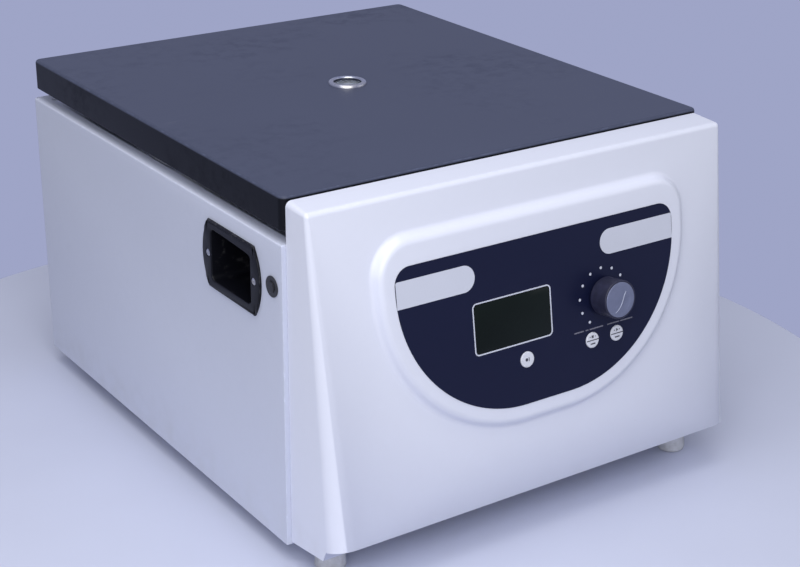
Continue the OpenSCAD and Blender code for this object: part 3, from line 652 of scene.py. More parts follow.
def printed_film():
    """Screen-printed overlay film: satin face with a faint weave of ink and finger marks."""
    f = Finish("printed_film", tuple(look("panel").film_colour), 0.33, specular=0.22)
    ink = f.noise(1500, 2) * 0.6 + f.noise(12, 3) * 0.4
    base = f.vary(ink, 0.88, 1.14)
    rough = 0.30 + smudges(f, 0.18) + ink * 0.03
    return f.set(base, rough, f.bump(f.noise(3200, 1), 0.05, 0.05 * MM))


def pale_print():
    """Pale ink on the film, slightly uneven."""
    f = Finish("pale_print", tuple(look("panel").print_colour), 0.4)
    ink = f.noise(1300, 3) * 0.6 + f.noise(60, 3) * 0.4
    return f.set(f.vary(ink, 0.94, 1.05), 0.38 + ink * 0.08)


def faint_print():
    """Thinner, greyer ink of the rule under the knob."""
    f = Finish("faint_print", (0.16, 0.16, 0.21), 0.45)
    ink = f.noise(700, 3)
    return f.set(f.vary(ink.ramp(0.3, 0.7), 0.6, 1.15), 0.42 + ink * 0.1)


def dark_print():
    """Dark ink of the marks on the buttons."""
    f = Finish("dark_print", (0.035, 0.035, 0.05), 0.5)
    ink = f.noise(1500, 3)
    return f.set(f.vary(ink, 0.8, 1.5), 0.45 + ink * 0.1)


def tinted_window():
    """Tinted window over the unlit display: near black green, glossy, with faint wiping marks."""
    f = Finish("tinted_window", (0.004, 0.0065, 0.005), 0.16, specular=0.16)
    across = f.noise(18, 3, stretch=(1, 1, 5))
    glow = f.noise(14, 2)
    base = f.blend(glow.ramp(0.3, 0.7), (0.0035, 0.0060, 0.0045), (0.0050, 0.0085, 0.0065))
    return f.set(base, 0.12 + across.ramp(0.45, 0.75) * 0.10, f.bump(f.noise(22, 2), 0.02, 0.2 * MM))


def clear_lens():
    """Clear polycarbonate of the viewport, lightly scratched."""
    f = Finish("clear_lens", (0.72, 0.76, 0.80), 0.06, **{"Transmission Weight": 0.85, "IOR": 1.5})
    marks = f.noise(160, 4, stretch=(1, 5, 1)).ramp(0.6, 0.72)
    return f.set(f.blend(marks, (0.70, 0.74, 0.78), (0.80, 0.83, 0.86)), 0.05 + marks * 0.12)


def moulded_plastic(name, colour, roughness, grain=1800, dusty=0.12, low=None, high=None, specular=0.45):
    """Plain moulded plastic with grain, handling marks and a little dust in the texture."""
    f = Finish(name, colour, roughness, specular=specular)
    mottle = f.noise(25, 3) * 0.5 + f.noise(grain * 0.4, 2) * 0.5
    dust = f.noise(120, 5, roughness=0.7).ramp(0.58, 0.8) * dusty
    base = f.vary(mottle, 0.88, 1.12)
    base = f.blend(dust, base, DUST)
    if low is not None:
        rubbed = f.edge(low, high, 1.2 * MM) * f.noise(240, 4).ramp(0.45, 0.65)
        base = f.blend(rubbed * 0.35, base, tone(colour, (0.6, 0.6, 0.62), 0.25))
    rough = roughness - 0.03 + smudges(f, 0.12) + dust * 0.4
    return f.set(base, rough, f.bump(f.noise(grain, 2), 0.12, 0.1 * MM))


def black_plastic():
    return moulded_plastic("black_plastic", (0.012, 0.012, 0.014), 0.4)


def cup_plastic():
    low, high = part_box("handle_cup_left")
    return moulded_plastic("recess_plastic", (0.0030, 0.0032, 0.0055), 0.36, low=low, high=high, specular=0.2)


def white_plastic():
    return moulded_plastic("white_plastic", (0.58, 0.60, 0.69), 0.3, grain=900, dusty=0.05)


def red_plastic():
    return moulded_plastic("rocker_plastic", (0.30, 0.012, 0.012), 0.25, grain=900)


def knob_plastic():
    """Satin body of the knob, rubbed where fingers hold it."""
    f = Finish("knob_plastic", (0.0180, 0.0190, 0.0430), 0.42, specular=0.4)
    held = f.noise(120, 3, stretch=(1, 1, 0.3)).ramp(0.4, 0.7)
    base = f.vary(held, 0.85, 1.25)
    return f.set(base, 0.46 - held * 0.1, f.bump(f.noise(2200, 2), 0.1, 0.1 * MM))


def knob_cap_satin():
    """Satin grey-blue cap, finely turned."""
    f = Finish("knob_cap_satin", (0.150, 0.168, 0.265), 0.36, metallic=0.2, specular=0.5)
    turned = f.noise(2600, 1)
    mottle = f.noise(160, 3)
    base = f.vary(mottle, 0.9, 1.1)
    return f.set(base, 0.33 + mottle * 0.08, f.bump(turned, 0.06, 0.05 * MM))


def knob_ridge_highlight():
    """Paler strip beside the cap's finger dimple: a painted highlight, the cap's grey made paler where it
    catches light.
    """
    f = Finish("knob_ridge_highlight", (0.42, 0.45, 0.58), 0.34)
    highlight_tone = f.noise(240, 3)
    return f.set(f.vary(highlight_tone, 0.85, 1.1), 0.3 + highlight_tone * 0.1)


def rubber(name, colour):
    """Matt rubber with moulding bloom and dust."""
    f = Finish(name, colour, 0.78, specular=0.3)
    bloom = f.noise(55, 5, roughness=0.65)
    dust = f.noise(240, 4).ramp(0.55, 0.75)
    base = f.vary(bloom.ramp(0.3, 0.7), 0.8, 1.3)
    base = f.blend(dust * 0.18, base, DUST)
    return f.set(base, 0.74 + bloom * 0.12, f.bump(f.noise(1100, 3), 0.25, 0.12 * MM))


def black_rubber():
    return rubber("black_rubber", (0.018, 0.018, 0.019))


def grey_rubber():
    return rubber("grey_rubber", (0.42, 0.43, 0.47))


def sheet_steel():
    """Brushed sheet: long fine scratches one way, soft blotches and a few oily marks."""
    roughness = 0.34
    f = Finish("sheet_steel", (0.50, 0.51, 0.54), roughness, metallic=1.0)
    brush = f.noise(2600, 3, stretch=(0.04, 1, 1), roughness=0.6)
    blotch = f.noise(14, 4)
    base = f.vary(blotch * 0.6 + brush * 0.4, 0.86, 1.08)
    rough = roughness - 0.06 + brush * 0.12 + smudges(f, 0.15)
    return f.set(base, rough, f.bump(brush, 0.12, 0.05 * MM))


def zinc_plate():
    """Bright zinc: fine crystals, slight blue and straw tints."""
    f = Finish("zinc_plate", (0.56, 0.57, 0.60), 0.3, metallic=1.0)
    crystal = f.cells(420)
    tint = f.noise(30, 3)
    base = f.blend(tint.ramp(0.35, 0.65), (0.50, 0.52, 0.58), (0.60, 0.58, 0.54))
    return f.set(base, 0.24 + crystal * 0.12 + smudges(f, 0.1), f.bump(f.noise(1500, 2), 0.08, 0.05 * MM))


def turned_aluminium():
    """Turned aluminium: fine rings round the rotor axis, with a clear anodised bloom."""
    f = Finish("turned_aluminium", (0.58, 0.59, 0.61), 0.32, metallic=1.0)
    radius = f.around(AXIS)
    rings = f.noise(1.0, 2, at=f.join_xyz(radius * 2600, f.z * 2600, 0.0))
    bloom = f.noise(16, 4)
    base = f.vary(bloom, 0.88, 1.06)
    return f.set(base, 0.27 + rings * 0.14 + smudges(f, 0.12), f.bump(rings, 0.15, 0.04 * MM))


def spun_steel():
    """Spun stainless bowl: rings round the axis, water marks low on the wall."""
    f = Finish("spun_steel", (0.55, 0.56, 0.58), 0.26, metallic=1.0)
    radius = f.around(AXIS)
    rings = f.noise(1.0, 2, at=f.join_xyz(radius * 1400, f.z * 1400, 0.0))
    drops = f.cells(60).ramp(0.18, 0.30)
    low = 1 - f.z.ramp(0.10, 0.16)
    base = f.vary(f.noise(11, 4), 0.88, 1.05)
    base = f.blend((1 - drops) * low * 0.25, base, f.shade(0.7))
    return f.set(base, 0.22 + rings * 0.12 + smudges(f, 0.15), f.bump(rings, 0.10, 0.04 * MM))


def cast_paint():
    """Painted casting: pebbled paint over a rough casting."""
    f = Finish("painted_casting", (0.045, 0.048, 0.060), 0.5)
    rough = f.noise(420, 4)
    base = f.vary(f.noise(20, 3), 0.8, 1.25)
    return f.set(base, 0.45 + rough * 0.12, f.bump(rough, 0.35, 0.2 * MM))


def solder_mask():
    """Green board: mask over copper lanes, pale pads."""
    f = Finish("solder_mask", (0.012, 0.105, 0.045), 0.3)
    lanes = (f.x * 1500).sine() * (f.z * 1100).sine()
    pads = 1 - f.cells(300).ramp(0.10, 0.14)
    base = f.blend(lanes.ramp(0.1, 0.3), (0.010, 0.090, 0.038), (0.020, 0.150, 0.060))
    base = f.blend(pads, base, (0.55, 0.56, 0.55))
    return f.set(base, 0.28 + pads * 0.1 + smudges(f, 0.1), f.bump(lanes.ramp(0.1, 0.3), 0.2, 0.03 * MM))


def wound_copper():
    """Enamelled windings: turns stacked up the stator."""
    f = Finish("wound_copper", (0.35, 0.13, 0.05), 0.35, metallic=0.8)
    turns = (f.z * 5200).sine() * 0.5 + 0.5
    base = f.blend(turns, (0.14, 0.045, 0.02), (0.45, 0.18, 0.07))
    return f.set(base, 0.3 + f.noise(90, 3) * 0.15, f.bump(turns, 0.5, 0.3 * MM))


MAKERS = {
    "casing_white": casing_coat,
    "fascia_white": fascia_moulding,
    "lid_grey": lid_moulding,
    "steel": sheet_steel,
    "zinc": zinc_plate,
    "aluminium": turned_aluminium,
    "black_plastic": black_plastic,
    "cup_plastic": cup_plastic,
    "white_plastic": white_plastic,
    "film_navy": printed_film,
    "window_dark": tinted_window,
    "clear": clear_lens,
    "rubber_black": black_rubber,
    "rubber_grey": grey_rubber,
    "knob_grey": knob_plastic,
    "cap_grey": knob_cap_satin,
    "board_green": solder_mask,
    "copper": wound_copper,
    "red_plastic": red_plastic,
    "cast_grey": cast_paint,
}
made_finishes = {}


def finish_for(maker):
    """The material that a maker makes, made once."""
    if maker not in made_finishes:
        made_finishes[maker] = maker()
    return made_finishes[maker]


FINISHES = {slot: (lambda maker=maker: finish_for(maker)) for slot, maker in MAKERS.items()}


def node_slots():
    """Material slot of each packed node, from the record."""
    return {part["node"]: part["material_slot"] for part in frame["record"]["subparts"]}


# Pieces


def vent_cutter(x, z):
    """One vent slot with round ends, through the back wall."""
    centre, half = Vector((x, CASE_HIGH.y, z)), Vector(mm(2.5, 4, 10))
    slot = block("slot", centre - half, centre + half)
    with Editing(slot) as edit:
        edit.edges(lambda a, b: near(a.x, b.x) and near(a.z, b.z))
        bpy.ops.mesh.bevel(offset=2.4 * MM, segments=6)
    return slot


def wall_cutter(box, half, **wall):
    """A block round the middle of a node's box, brought to the wall that it cuts."""
    at = middle(box)
    for axis, value in wall.items():
        setattr(at, axis, value)
    return block("cutter", at - Vector(half), at + Vector(half))


def make_casing():
    """Side and back walls with their bends, lips and cut-outs."""
    size = look("cabinet")
    low, high = CASE_LOW, CASE_HIGH
    lips, through = 12 * MM, 8 * MM
    casing = block("casing", low, high)
    with Editing(casing) as edit:
        edit.edges(lambda a, b: near(a.y, high.y) and near(b.y, high.y) and near(a.x, b.x))
        bpy.ops.mesh.bevel(offset=size.corner, segments=8)
        edit.edges(lambda a, b: near(a.z, high.z) and near(b.z, high.z))
        bpy.ops.mesh.bevel(offset=size.bend, segments=4)
        for direction in (UP, FRONT):
            edit.facing(direction)
            bpy.ops.mesh.inset(thickness=lips - size.bend)
            bpy.ops.mesh.delete(type="FACE")
        edit.facing(DOWN)
        bpy.ops.mesh.delete(type="FACE")
        edit.edges(lambda a, b: all(near(end.y, low.y) and near(abs(end.x), high.x) for end in (a, b)))
        bpy.ops.mesh.bevel(offset=0.5 * MM, segments=3)
    modify(casing, "SOLIDIFY", thickness=size.sheet, offset=-1, use_even_offset=True)
    plug, fuse = middle(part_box("release_sleeve")), middle(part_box("fuse_holder"))
    cup = mm(8, 33, 24)
    cutters = [
        wall_cutter(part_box("handle_cup_left"), cup, x=-high.x),
        wall_cutter(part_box("handle_cup_right"), cup, x=high.x),
        disc("cutter", (low.x - through / 2, plug.y, plug.z), 7 * MM, through, axis="X"),
        wall_cutter(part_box("power_inlet"), mm(14.3, 4, 11), y=high.y),
        wall_cutter(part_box("mains_switch_body"), mm(10.2, 4, 13.7), y=high.y),
        disc("cutter", (fuse.x, high.y - through / 2, fuse.z), 6.2 * MM, through, axis="Y"),
        *(vent_cutter(x * MM, z * MM) for x in range(20, 141, 12) for z in (52, 78)),
    ]
    cut(casing, cutters)
    done(casing, "cabinet", "casing_white", ["casing_shell"])


def make_lid():
    """Lid shell: rounded box, hollow below, with the viewport's hole."""
    size = look("cabinet")
    low, high = LID_LOW, LID_HIGH
    wall, lead_in = 3 * MM, 0.4 * MM
    lid = block("lid", low, high)
    centre = middle(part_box("viewport_ring"))
    with Editing(lid) as edit:
        edit.edges(lambda a, b: near(a.x, b.x) and near(a.y, b.y))
        bpy.ops.mesh.bevel(offset=6 * MM, segments=10)
        edit.edges(lambda a, b: near(a.z, high.z) and near(b.z, high.z))
        bpy.ops.mesh.bevel(offset=size.lid_round, segments=6)
        edit.facing(DOWN)
        bpy.ops.mesh.inset(thickness=lead_in, depth=lead_in)
        bpy.ops.mesh.inset(thickness=wall - lead_in)
        pull((0, 0, high.z - low.z - wall))
    cut(lid, [disc("cutter", (centre.x, centre.y, high.z - 10 * MM), 14.2 * MM, 20 * MM, vertices=96)])
    done(lid, "lid", "lid_grey", ["lid_shell"])


def make_viewport():
    """Metal ring of the viewport, turned with a step and a rounded lip, and its lens."""
    centre = middle(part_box("viewport_ring"))
    foot = LID_HIGH.z - 0.6 * MM
    ring = disc("viewport_bezel", (centre.x, centre.y, foot), 16.5 * MM, 1.5 * MM, vertices=128)
    with Editing(ring) as edit:
        edit.facing(UP)
        climb([mm(0.5, 0.9), mm(0.6, 0.45), mm(2.4, 0.12), mm(0.5, -0.3)])
        bpy.ops.mesh.inset(thickness=0.4 * MM, depth=-0.8 * MM)
        bpy.ops.mesh.delete(type="FACE")
        edit.facing(DOWN)
        bpy.ops.mesh.delete(type="FACE")
    modify(ring, "SOLIDIFY", thickness=0.5 * MM, offset=-1)
    done(ring, "lid", "zinc", ["viewport_ring"], angle=40)
    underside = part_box("viewport_lens")[0].z
    lens = disc("viewport_glass", (centre.x, centre.y, underside), 13.8 * MM, 2.3 * MM, vertices=128)
    soften(lens, 0.3 * MM)
    done(lens, "lid", "clear", ["viewport_lens"])


def panel_holes(button, knob, reach):
    """Cutters for the buttons and the knob, each reaching both ways from the panel."""
    holes = [disc("cutter", (*at, -reach), button, 2 * reach) for at in BUTTONS_AT.values()]
    return [*holes, disc("cutter", (*KNOB_AT, -reach), knob, 2 * reach)]


def arc_steps(radius, slope, count=6):
    """Steps inwards and up along an arc, from flat to a slope."""
    angles = [slope * i / count for i in range(count + 1)]
    return [
        (radius * (math.sin(b) - math.sin(a)), radius * (math.cos(a) - math.cos(b)))
        for a, b in zip(angles, angles[1:])
    ]


def make_fascia():
    """Moulded front: wedge body whose creases widen downwards, with the raised platform."""
    size = look("fascia")
    back_y = FASCIA_HIGH.y
    half = (FASCIA_HIGH.x - FASCIA_LOW.x) / 2
    height = size.stand_out + 0.5 * MM
    on_front = PANEL @ Vector((0, 0, -height))
    run = math.tan(FASCIA_TILT)

    def front_y(z):
        return on_front.y + (z - on_front.z) * run

    brow_z, lip_z = FASCIA_HIGH.z - 2 * MM, 39.6 * MM
    brow = Vector((0, front_y(brow_z), brow_z))
    lip = Vector((0, front_y(lip_z), lip_z))
    keel = Vector((0, back_y - 45.4 * MM, 25 * MM))
    ahead = -0.3
    body = block("fascia_front", (-half, ahead, FASCIA_LOW.z), (half, back_y, FASCIA_HIGH.z))
    with Editing(body) as edit:
        for target, level in ((brow, FASCIA_HIGH.z), (lip, FASCIA_LOW.z)):
            edit.verts(lambda co: near(co.y, ahead) and near(co.z, level))
            bpy.ops.transform.translate(value=(0, target.y - ahead, target.z - level))
        edit.edges(lambda a, b: max(a.z, b.z) > 0.1 and not (near(a.y, back_y) and near(b.y, back_y)))
        bpy.ops.mesh.bevel(offset=size.toe_round, segments=14)
        for side in (-1, 1):
            for corner, radius, is_near in (
                (Vector((side * half, brow.y, brow.z)), size.brow_round, lambda co: co.y < back_y - 1 * MM),
                (Vector((side * half, back_y, FASCIA_HIGH.z)), 5 * MM, lambda co: co.y > back_y - 1 * MM),
            ):
                edit.verts(lambda co: co.z > 0.2 and is_near(co) and co.x * side > 0)
                bpy.ops.transform.resize(value=(radius / size.toe_round,) * 3, center_override=corner)
        edit.faces(lambda at, normal: normal.z < -0.5)
        bpy.ops.mesh.bisect(plane_co=keel, plane_no=(0, 1, 0))
        edit.verts(lambda co: near(co.y, keel.y) and co.z < 0.1)
        straight_z = FASCIA_LOW.z + (lip.z - FASCIA_LOW.z) * (back_y - keel.y) / (back_y - lip.y)
        bpy.ops.transform.translate(value=(0, 0, keel.z - straight_z))
        edit.faces(lambda at, normal: normal.dot(OUT_OF_PANEL) > 0.99995 and at.y < back_y - 0.01)
        bpy.ops.mesh.delete(type="ONLY_FACE")
    slope = math.radians(58)
    rise = size.stand_out - (size.foot_round + size.edge_round) * (1 - math.cos(slope))
    steps = arc_steps(size.foot_round, slope) + [(rise / math.tan(slope) / 2, rise / 2)] * 2
    steps += reversed(arc_steps(size.edge_round, slope))
    grow = sum(inwards for inwards, _ in steps) + 10 * MM
    low = (-131 * MM - grow, -64.5 * MM - grow)
    high = (132.5 * MM + grow, 70.5 * MM + grow)
    platform = outline("platform", low, high, panel_corners(112 * MM + grow, 12.5 * MM + grow), segments=40)
    with Editing(platform) as edit:
        edit.all()
        bpy.ops.transform.translate(value=(0, 0, -height))
        climb(steps)
    settle(platform, PANEL)
    fascia = join("fascia_front", [body, platform])
    with Editing(fascia) as edit:
        bpy.ops.mesh.select_mode(type="EDGE")
        bpy.ops.mesh.select_non_manifold()
        bpy.ops.mesh.fill()
        edit.all()
        bpy.ops.mesh.remove_doubles(threshold=1e-6)
        bpy.ops.mesh.normals_make_consistent(inside=False)
    wall = 3 * MM
    modify(fascia, "SOLIDIFY", thickness=wall, offset=-1, use_even_offset=True)
    inside = half - 2 * wall
    opening = block("cutter", (-inside, back_y - 8 * MM, 24 * MM), (inside, back_y + 6 * MM, 261 * MM))
    window = block("cutter", mm(-37.2, -20.2, -10), mm(37.2, 20.2, 10))
    settle(window, PANEL @ Matrix.Translation((*WINDOW_AT, 0)))
    holes = panel_holes(BUTTON_HOLE, 3.7 * MM, 10 * MM)
    for cutter in (opening, window, *(settle(hole, PANEL) for hole in holes)):
        cut(fascia, [cutter])
    even_out(fascia)
    done(fascia, "cabinet", "fascia_white", ["fascia"], angle=32)


def panel_piece(piece, body, slot, stands_for=(), finish=None, angle=35):
    """Finishes a piece that was modelled in panel coordinates."""
    settle(piece, PANEL)
    return done(piece, body, slot, stands_for, finish, angle)


def printed(piece, ink):
    """Finishes print on the overlay."""
    return panel_piece(piece, "cabinet", "film_navy", finish=finish_for(ink))


def make_overlay():
    """Printed film with its cut-outs, and the print that stands on it."""
    film = outline("overlay_film", mm(-134, -66), mm(134, 66), panel_corners(112 * MM, 14 * MM), segments=48)
    thicken(film, -0.5 * MM, 0)
    window = outline("cutter", mm(-37, -20), mm(37, 20), all_corners(3 * MM), segments=8)
    thicken(window, -5 * MM, 5 * MM)
    shift(window, *WINDOW_AT)
    cut(film, [window, *panel_holes(BUTTON_HOLE, 6.2 * MM, 5 * MM)])
    panel_piece(film, "cabinet", "film_navy", ["control_overlay"])
    pills = []
    for low, high, radii in (
        ((-133.6, 35.1), (-63.2, 55.9), {(1, -1): 10.3, (1, 1): 10.3, (-1, 1): 1.5}),
        ((58.6, 35.7), (133.6, 56.2), {(-1, -1): 10.2, (-1, 1): 10.2, (1, 1): 1.5}),
    ):
        radii = {corner: radius * MM for corner, radius in radii.items()}
        pill = outline("pill", Vector(low) * MM, Vector(high) * MM, radii, segments=16)
        pills.append(thicken(pill, PRINT_LOW, PRINT_TOP))
    printed(join("label_fields", pills), pale_print)
    edge = outline("display_edge", mm(-67.5, -16.7), mm(7.3, 24.7), all_corners(4 * MM), segments=10)
    with Editing(edge) as edit:
        edit.all()
        bpy.ops.mesh.inset(thickness=1.05 * MM)
        bpy.ops.mesh.delete(type="FACE")
    thicken(edge, PRINT_LOW, PRINT_TOP)
    printed(edge, pale_print)
    dots, ring = [], 23.2 * MM
    for i in range(look("panel").dots):
        angle = math.radians(232 - i * 28.2)
        at = (58.7 * MM + ring * math.cos(angle), 3.1 * MM + ring * math.sin(angle), PRINT_LOW)
        dots.append(disc("dot", at, 1.15 * MM, PRINT_TOP - PRINT_LOW, vertices=24))
    printed(join("dial_dots", dots), pale_print)
    dashes = []
    for start, end in ((28.4, 38.0), (39.8, 42.6), (43.8, 57.6), (62.0, 74.4), (75.6, 88.2)):
        dashes.append(block("dash", (start * MM, -21.6 * MM, PRINT_LOW), (end * MM, -20.6 * MM, PRINT_TOP)))
    printed(join("dial_rule", dashes), faint_print)


def make_window():
    """Display window set in the overlay."""
    pane = outline("display_pane", mm(-36.8, -19.8), mm(36.8, 19.8), all_corners(2.8 * MM), segments=8)
    thicken(pane, -3.4 * MM, -0.3 * MM)
    soften(pane, 0.2 * MM)
    shift(pane, *WINDOW_AT)
    panel_piece(pane, "cabinet", "window_dark", ["display_window"])


def button_marks(name):
    """Dark generic marks on a push button, around its centre."""
    marks = []
    if name == "display_button":
        marks.append(disc("mark", mm(-1.0, 0, 0), 1.3 * MM, MARK * MM, vertices=24))
        marks.append(block("mark", mm(0.9, -1.5, 0), mm(1.6, 1.5, MARK)))
        return marks
    marks.append(block("mark", mm(-6.0, -0.4, 0), mm(6.0, 0.4, MARK)))
    vertices = 3 if name == "start_button" else 4
    glyph = primitive("cylinder", "mark", vertices=vertices, radius=1.5 * MM, depth=MARK * MM)
    turn = Matrix.Rotation(math.radians(-90 if vertices == 3 else 45), 4, "Z")
    marks.append(settle(glyph, Matrix.Translation(mm(0, 2.9, MARK / 2)) @ turn))
    for x in (-2.6, 2.6):
        marks.append(disc("mark", mm(x, 2.9, 0), 0.5 * MM, MARK * MM, vertices=16))
    marks.append(block("mark", mm(-2.4, -3.4, 0), mm(2.4, -2.4, MARK)))
    return marks


def make_buttons():
    """Three push buttons with their retaining flange, stem and printed marks."""
    radius = look("panel").button_radius
    for name, at in BUTTONS_AT.items():
        button = disc(name + "_cap", mm(0, 0, -5.2), radius + 1.3 * MM, 1.3 * MM, vertices=64)
        with Editing(button) as edit:
            edit.facing(UP)
            climb([mm(1.3, 0)])
            pull(mm(0, 0, 4.35))
            climb([mm(0.12, 0.2), mm(0.2, 0.1), mm(0.5, 0.05)])
            edit.facing(DOWN)
            climb([(radius - 1.1 * MM, 0)])
            pull(mm(0, 0, -2.7))
        shift(button, *at)
        panel_piece(button, name, "white_plastic", [name])
        marks = join(name + "_marks", button_marks(name))
        shift(marks, *at, 0.79 * MM)
        panel_piece(marks, name, "white_plastic", finish=finish_for(dark_print))


def make_knob():
    """Knob body with a turned lip, and its cap with an S-shaped finger dimple."""
    radius = look("panel").knob_radius
    base, top = 3.5 * MM, 22 * MM
    knob = disc("knob_body", (0, 0, base), radius - 0.5 * MM, 0.5 * MM, vertices=128)
    with Editing(knob) as edit:
        edit.facing(UP)
        pull(mm(0, 0, 0.5))
        grown = radius / (radius - 0.5 * MM)
        bpy.ops.transform.resize(value=(grown, grown, 1), center_override=(0, 0, base + 1 * MM))
        pull((0, 0, top - base - 2.1 * MM))
        climb([mm(0.08, 0.35), mm(0.25, 0.3), mm(0.4, 0.12), mm(0.55, 0), mm(0.1, -0.9)])
        edit.facing(DOWN)
        climb([mm(5.5, 0)])
        pull(mm(0, 0, 3))
    shift(knob, *KNOB_AT)
    panel_piece(knob, "knob", "knob_grey", ["control_knob"])
    cap = disc("knob_cap_face", (0, 0, top - 1.4 * MM), radius - 1.45 * MM, 1.0 * MM, vertices=128)
    with Editing(cap) as edit:
        edit.facing(UP)
        climb([mm(0.1, 0.2), mm(0.25, 0.15), mm(0.3, 0.05)])
    dimple = primitive("uv_sphere", "cutter", segments=64, ring_count=32, radius=1)
    dimple.scale = mm(6.6, 12.0, 3)
    settle(dimple)
    lean = Matrix.Rotation(math.radians(-26), 4, "Z")
    settle(dimple, Matrix.Translation((6.0 * MM, -3.0 * MM, top + 2.5 * MM)) @ lean)
    cut(cap, [dimple])
    shift(cap, *KNOB_AT)
    panel_piece(cap, "knob", "cap_grey", ["knob_cap"], angle=50)
    # The pale strip along the dimple's edge carries a painted highlight.
    path = [Vector((x, y, 0)) * MM for x, y in (
        (5.6, 5.8), (4.4, 4.0), (3.5, 2.3), (2.8, 0.7), (2.1, -0.9), (1.3, -2.5), (0.4, -4.1), (-0.8, -5.7),
        (-2.3, -7.2), (-4.0, -8.5), (-5.8, -9.5),
    )]
    ridge = block("knob_ridge", mm(-0.35, -0.05, -0.4), mm(0.35, 0.05, 0.28))
    with Editing(ridge) as edit:
        edit.all()
        bpy.ops.transform.translate(value=path[0])
        edit.facing(FRONT)
        for start, end in zip(path, path[1:]):
            pull(end - start)
        edit.all()
        bpy.ops.mesh.normals_make_consistent(inside=False)
    soften(ridge, 0.12 * MM)
    shift(ridge, *KNOB_AT, top - 0.05 * MM)
    panel_piece(ridge, "knob", "cap_grey", finish=finish_for(knob_ridge_highlight), angle=50)


def make_recesses():
    """Handle recesses with rounded corners, a softened rim and a drafted pocket."""
    for node, side in (("handle_cup_left", -1), ("handle_cup_right", 1)):
        low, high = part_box(node)
        centre = middle((low, high))
        outer = high.x if side > 0 else low.x
        cup = merged_copy(node, node.replace("cup", "recess"))

        def across(a, b):
            return near(a.y, b.y, 1e-4) and near(a.z, b.z, 1e-4)

        def beside(co, along, up):
            return abs(co.y - centre.y) > along * MM and abs(co.z - centre.z) > up * MM

        def pocket(co):
            return near(abs(co.z - centre.z), 21 * MM, 1e-4) and near(abs(co.y - centre.y), 30 * MM, 1e-4)

        with Editing(cup) as edit:
            edit.edges(lambda a, b: across(a, b) and beside(a, 30, 27.5))
            bpy.ops.mesh.bevel(offset=6 * MM, segments=8)
            edit.edges(lambda a, b: across(a, b) and pocket(a))
            bpy.ops.mesh.bevel(offset=4 * MM, segments=6)

            def rim(co):
                return near(co.x, outer, 2e-5) and (
                    abs(co.z - centre.z) > 26 * MM or abs(co.y - centre.y) > 39.5 * MM
                    or (abs(co.z - centre.z) < 21.1 * MM and abs(co.y - centre.y) < 30.1 * MM)
                )

            edit.edges(lambda a, b: rim(a) and rim(b))
            bpy.ops.mesh.bevel(offset=1.1 * MM, segments=4)
        done(cup, "cabinet", "cup_plastic", [node], angle=40)


# Packed forms that keep their shape, with how far their edges are broken, in millimetres
SOFTENED = {
    "base_pan": 0.2, "top_deck": 0.3, "encoder_nut": 0.2, "handle_screws": 0.15, "foot_screws": 0.2,
    "rubber_feet": 0.5, "chamber_gasket": 0.4, "shaft_boot": 0.5, "rotor_head": 0.6, "tube_sleeves": 0.25,
    "rotor_nut": 0.7, "lid_liner": 0.4, "lid_striker": 0.2, "lid_hinge_leaves": 0.3, "lid_screws": 0.1,
    "hinge_brackets": 0.3, "hinge_pins": 0.3, "power_inlet": 0.35, "mains_switch_body": 0.35,
    "fuse_holder": 0.3, "mains_rocker": 0.35, "release_sleeve": 0.25, "release_pull": 0.4,
    "cabinet_screws": 0.15, "latch_hook": 0.3, "latch_bracket": 0.2, "chamber_bowl": 0.2,
    "drive_shaft": 0.3, "sleeve_cushions": 0.3, "motor_housing": 0.8, "motor_plate": 0.4,
    "motor_dampers": 0.5, "heat_sink": 0.3,
}


def make_fittings():
    """Fittings, chamber and rotor: each packed form with its edges broken."""
    slots = node_slots()
    for node, width in SOFTENED.items():
        fitting = merged_copy(node, node + "_finished")
        soften(fitting, width * MM)
        smooth(fitting)
        even_out(fitting)
        maker = spun_steel if node == "chamber_bowl" else MAKERS[slots[node]]
        done(fitting, frame["nodes"][node]["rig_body"], slots[node], [node], finish=finish_for(maker))


def dress_nodes():
    """Materials for the packed nodes that stay as they are."""
    for node, slot in node_slots().items():
        obj = frame["nodes"][node]
        if obj.hide_render:
            continue
        obj.data.materials.clear()
        obj.data.materials.append(FINISHES[slot]())


def make_rocker_marks():
    """Raised line and ring on the rocker's two ends."""
    centre = Vector(joint("mains_rocker_tilt")["pos_m"])
    line = block("mark", mm(-0.5, 4.2, 0), mm(0.5, 7.6, 0.12))
    ring = primitive(
        "torus", "mark", major_radius=1.5 * MM, minor_radius=0.25 * MM, major_segments=32, minor_segments=8
    )
    settle(ring, Matrix.Translation(mm(0, -6, 0.05)))
    for piece, lean in ((line, -7.84), (ring, 7.84)):
        settle(piece, Matrix.Translation(mm(0, 0, 2.9)) @ Matrix.Rotation(math.radians(-lean), 4, "X"))
    marks = join("rocker_marks", [line, ring])
    tilt = Matrix.Rotation(math.radians(8), 4, "X")
    facing = Matrix([(-1, 0, 0, 0), (0, 0, 1, 0), (0, 1, 0, 0), (0, 0, 0, 1)])
    settle(marks, Matrix.Translation(centre) @ facing @ tilt)
    done(marks, "mains_rocker", "white_plastic", finish=finish_for(white_plastic))


# Stage


def make_camera():
    """Camera at the photograph's angle."""
    data = bpy.data.cameras.new("camera")
    camera = bpy.data.objects.new("camera", data)
    bpy.context.scene.collection.objects.link(camera)
    bpy.context.scene.camera = camera
    data.sensor_fit = "HORIZONTAL"
    data.sensor_width = 36
    data.lens = 76.713
    data.clip_end = 20
    azimuth, elevation, roll = math.radians(34.4375), math.radians(22.717), math.radians(0.464)
    level = math.cos(elevation)
    forward = Vector((math.sin(azimuth) * level, math.cos(azimuth) * level, -math.sin(elevation)))
    camera.rotation_mode = "QUATERNION"
    camera.rotation_quaternion = forward.to_track_quat("-Z", "Y") @ Quaternion((0, 0, 1), roll)
    camera.location = (-0.77181, CASE_HIGH.y - 1.42417, 0.70968)


